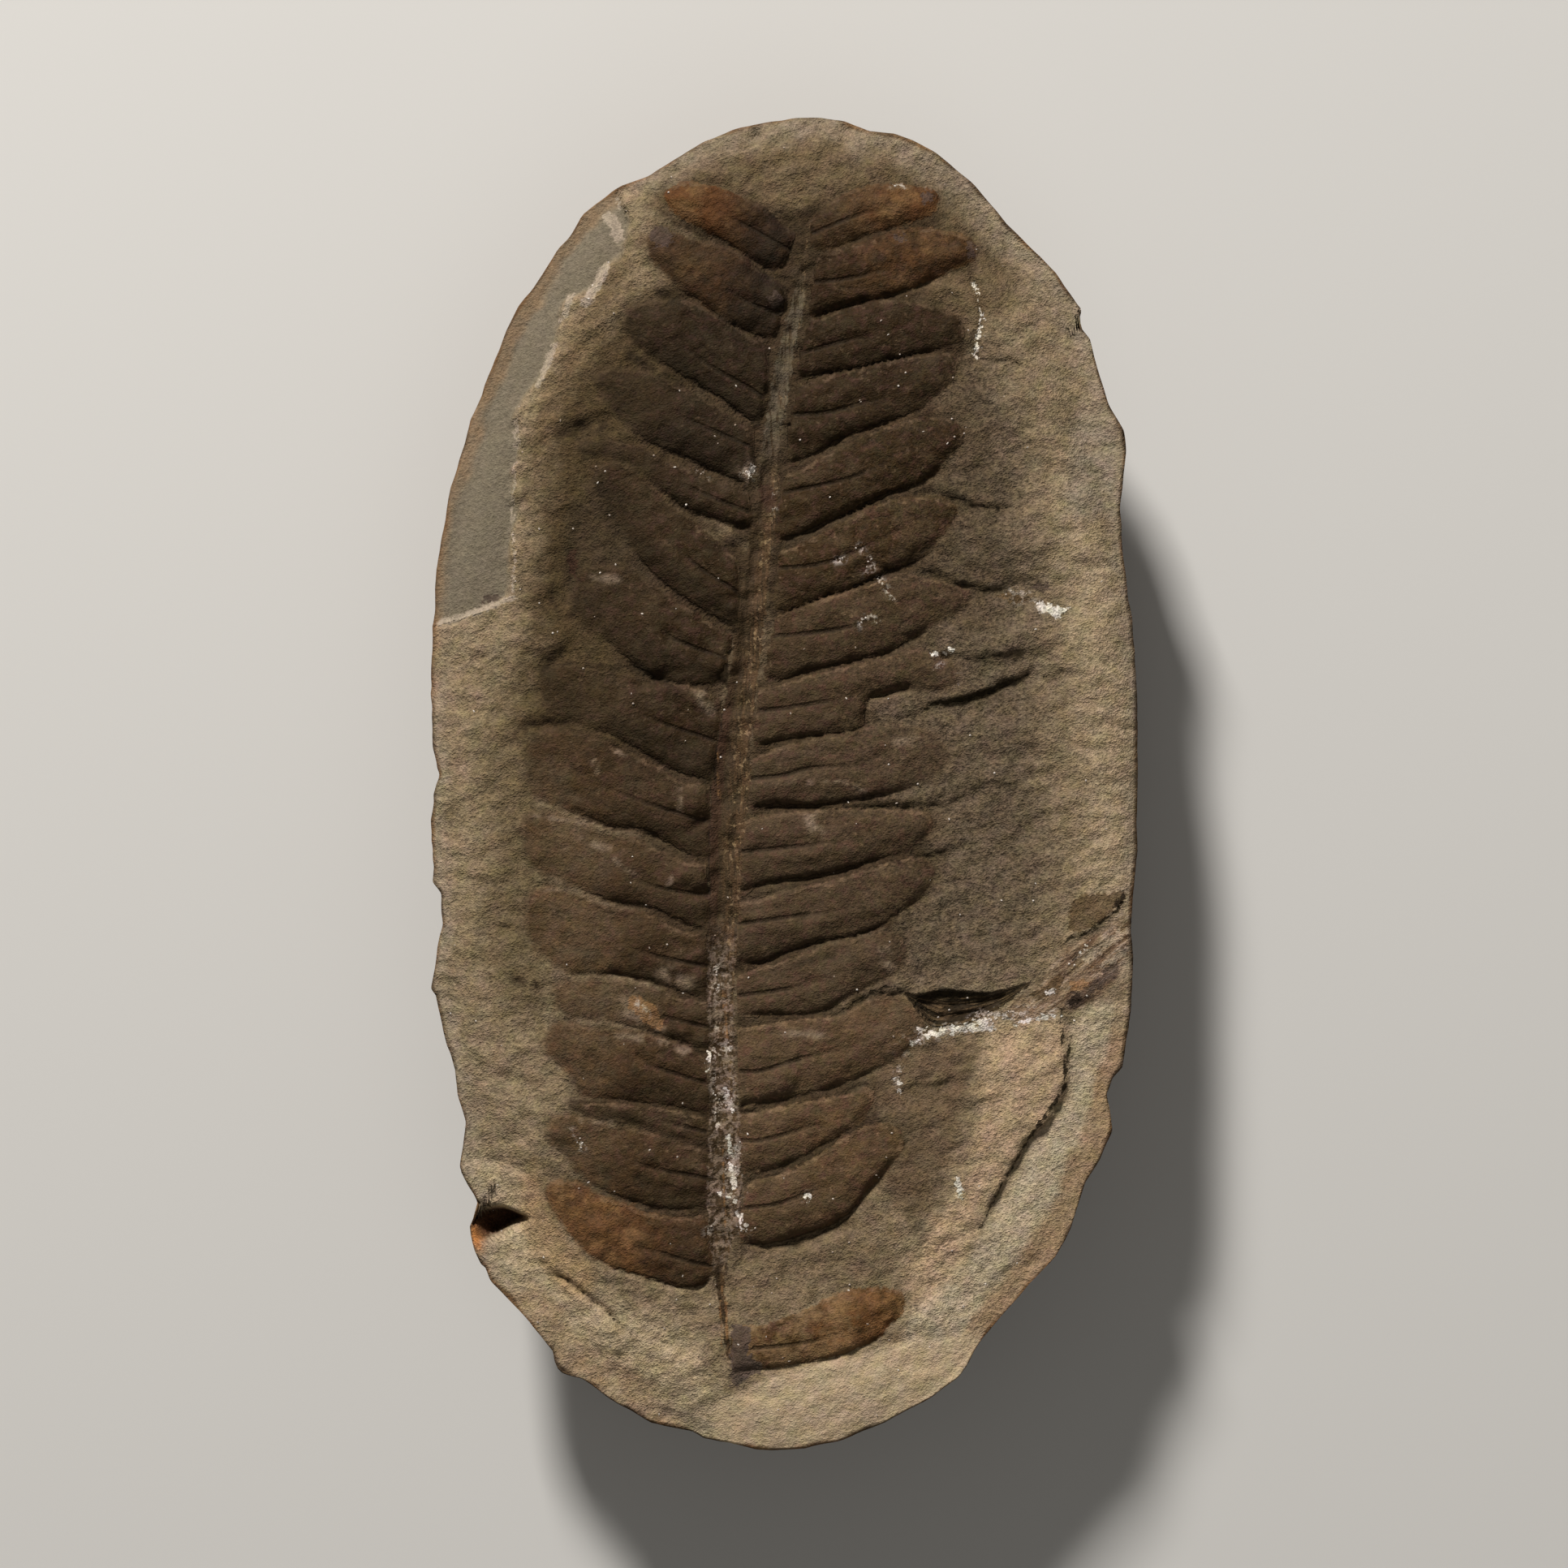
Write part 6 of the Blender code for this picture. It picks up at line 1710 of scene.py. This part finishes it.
def stone_material():
    """The one material of the stone, from its bare silt to its mineral specks."""
    material, tree, place = new_material("siderite_with_fern")
    broad, middle = noise_of(tree, place, 9.0), noise_of(tree, place, 1.1, 3.0)
    fine = noise_of(tree, moved(tree, place, (31, 3, 6)), 0.45, 3.0)
    wander = swing_of(tree, noise_of(tree, place, 0.6, 3.0), 0.9)
    edge, soft = added(tree, mask_of(tree, "edge"), wander), mask_of(tree, "soft_edge")
    frond = product(tree, step_up(tree, edge, product(tree, soft, -1.0), soft), mask_of(tree, "film"))
    lines = film_lines(tree, edge)
    film = frond_film(tree, place, middle, lines)
    colour = layer(tree, frond, bare_stone(tree, place, broad, middle), film)
    stalk = step_up(tree, added(tree, mask_of(tree, "stalk_depth"), wander), -0.1, 0.1)
    colour = layer(tree, stalk, colour, stalk_skin(tree, place, fine))
    colour = sharp_chips(tree, broken_corner(tree, colour, place), fine)
    fibre, threads = frayed(tree, "fibre", fine, 0.45), fibre_threads(tree)
    colour = layer(tree, fibre, colour, layer(tree, threads, CARBON_AND_SHADE, LIT_FIBRE), 0.95)
    # Painted shade, and dark film, in the open cracks.
    crevice_shade = frayed(tree, "open_crack", fine, 0.6)
    colour = layer(tree, crevice_shade, colour, CRACK_BLACK, 0.9)
    rust = step_up(tree, noise_of(tree, place, 4.5, 4.0), 0.42, 0.62)
    rind = ragged(tree, mask_of(tree, "rind"), noise_of(tree, place, 3.0, 3.0), 0.9)
    colour = layer(tree, rind, colour, layer(tree, rust, RIND_BROWN, RIND_ORANGE))
    specks = product(tree, mask_of(tree, "mineral"), step_up(tree, fine, 0.50, 0.56))
    colour = layer(tree, specks, colour, MINERAL_WHITE, 0.85)
    colour = layer(tree, frayed(tree, "crust", fine, 1.6), colour, CRUST_WHITE)
    colour = tinted(tree, colour, place, lowered(tree, 0.5, mask_of(tree, "grey"), 0.35))
    bright, height = stone_grain(tree, place, frond, (*lines, crevice_shade, product(tree, threads, fibre)))
    to_shader(tree, times(tree, colour, [bright] * 3), lowered(tree, 0.95, frond, 0.2), height, specular=0.12)
    return material


siderite = stone_material()
stone_data.materials.append(siderite)
print(f"The stone's material has {len(siderite.node_tree.nodes)} nodes")

# %% [markdown]
# ## White mineral grains
#
# Water left a white clay mineral, kaolinite, in the cracks and along the stalk. The grains stand proud
# of the stone and catch the light. A Geometry Nodes tree scatters small rough grains where the mineral
# mask is strong, and a thin dust of them over the frond, which is quicker and more even than placing
# each by hand. Only the few that stand out in the photograph are placed one by one.

# %% Mineral material


def mineral_material():
    """Chalky white with a little grey and rust between the grains."""
    material, tree, place = new_material("white_kaolinite")
    tint = step_up(tree, noise_of(tree, place, 1.2, 2.0), 0.4, 0.65)
    colour = layer(tree, tint, GRAIN_WHITE, GRAIN_TAN)
    bright, height = add_grain(tree, place, 0.25, 0.5, 0.03)
    to_shader(tree, times(tree, colour, [bright] * 3), 0.75, height)
    return material


kaolinite = mineral_material()
print(f"The mineral's material has {len(kaolinite.node_tree.nodes)} nodes")

# %% Scatter tree
# The share of the dust in the density, and the least and most stretch and turn of a grain.
DUST_SHARE = 0.05
STRETCHES = {0: (0.45, 0.45, 0.3), 1: (1.7, 1.3, 0.9)}
TURNS = {1: (0.5, 0.5, 2 * math.pi)}


def scatter_tree():
    """Geometry Nodes: grains over the faces where the mineral mask is strong, and a thin dust of them."""
    tree = bpy.data.node_groups.new("scatter_grains", "GeometryNodeTree")
    for name, kind, value in (("Stone", "Geometry", None), ("Grains per square metre", "Float", 4.5e6),
                              ("Grain radius", "Float", 0.085 * MM), ("Seed", "Int", 7)):
        socket = tree.interface.new_socket(name, in_out="INPUT", socket_type="NodeSocket" + kind)
        if value is not None:
            socket.default_value = value
    tree.interface.new_socket("Grains", in_out="OUTPUT", socket_type="NodeSocketGeometry")
    given = put(tree, "NodeGroupInput").outputs
    mineral, dust = [put(tree, "GeometryNodeInputNamedAttribute", {"Name": name}).outputs[0]
                     for name in ("mineral", "dust")]
    strong = maths(tree, "POWER", mineral, 2.0)
    both = put(tree, "Math", {0: dust, 1: DUST_SHARE, 2: strong}, operation="MULTIPLY_ADD").outputs[0]
    density = product(tree, both, given["Grains per square metre"])
    places = {"Mesh": given["Stone"], "Density": density, "Seed": given["Seed"]}
    places = put(tree, "GeometryNodeDistributePointsOnFaces", places, distribute_method="RANDOM")
    ball = put(tree, "GeometryNodeMeshIcoSphere", {"Subdivisions": 1, "Radius": given["Grain radius"]})
    size, turn = [put(tree, "FunctionNodeRandomValue", limits, data_type="FLOAT_VECTOR").outputs[0]
                  for limits in (STRETCHES, TURNS)]
    placed = put(tree, "GeometryNodeInstanceOnPoints", {"Points": places.outputs["Points"], "Rotation": turn,
                                                        "Instance": ball.outputs["Mesh"], "Scale": size})
    real = put(tree, "GeometryNodeRealizeInstances", {0: placed.outputs[0]})
    white = put(tree, "GeometryNodeSetMaterial", {"Geometry": real.outputs[0], "Material": kaolinite})
    put(tree, "NodeGroupOutput", {"Grains": white.outputs[0]})
    return tree


def made_plain(made):
    """Replaces an object's mesh by the result of its modifiers, and takes the modifiers off."""
    bpy.context.view_layer.update()
    result = bpy.data.meshes.new_from_object(made.evaluated_get(bpy.context.evaluated_depsgraph_get()))
    made.modifiers.clear()
    made.data = result


grains = in_scene("mineral_grains", stone_data.copy())
grains.modifiers.new("scatter", "NODES").node_group = scatter_tree()
made_plain(grains)
print(f"{len(grains.data.polygons)} triangles of scattered grains")

# %% Single grains


def single_grains():
    """The bright single grains: each a small ball half sunk in the stone."""
    shape = bmesh.new()
    for x, y in BRIGHT_GRAINS:
        nearest = np.argmin((face_x - x) ** 2 + (face_y - y) ** 2)
        place = Matrix.Translation((x * MM, y * MM, face_z[nearest] * MM))
        bmesh.ops.create_icosphere(shape, subdivisions=1, radius=BRIGHT_RADIUS * MM, matrix=place)
    data = bpy.data.meshes.new("bright_grains")
    shape.to_mesh(data)
    shape.free()
    data.materials.append(kaolinite)
    return in_scene("bright_grains", data)


bright_grains = single_grains()
print(f"{len(BRIGHT_GRAINS)} single grains")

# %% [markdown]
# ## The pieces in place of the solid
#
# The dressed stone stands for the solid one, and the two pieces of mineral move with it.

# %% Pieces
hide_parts("nodule_half")
for piece in (stone, grains, bright_grains):
    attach(piece, "root")
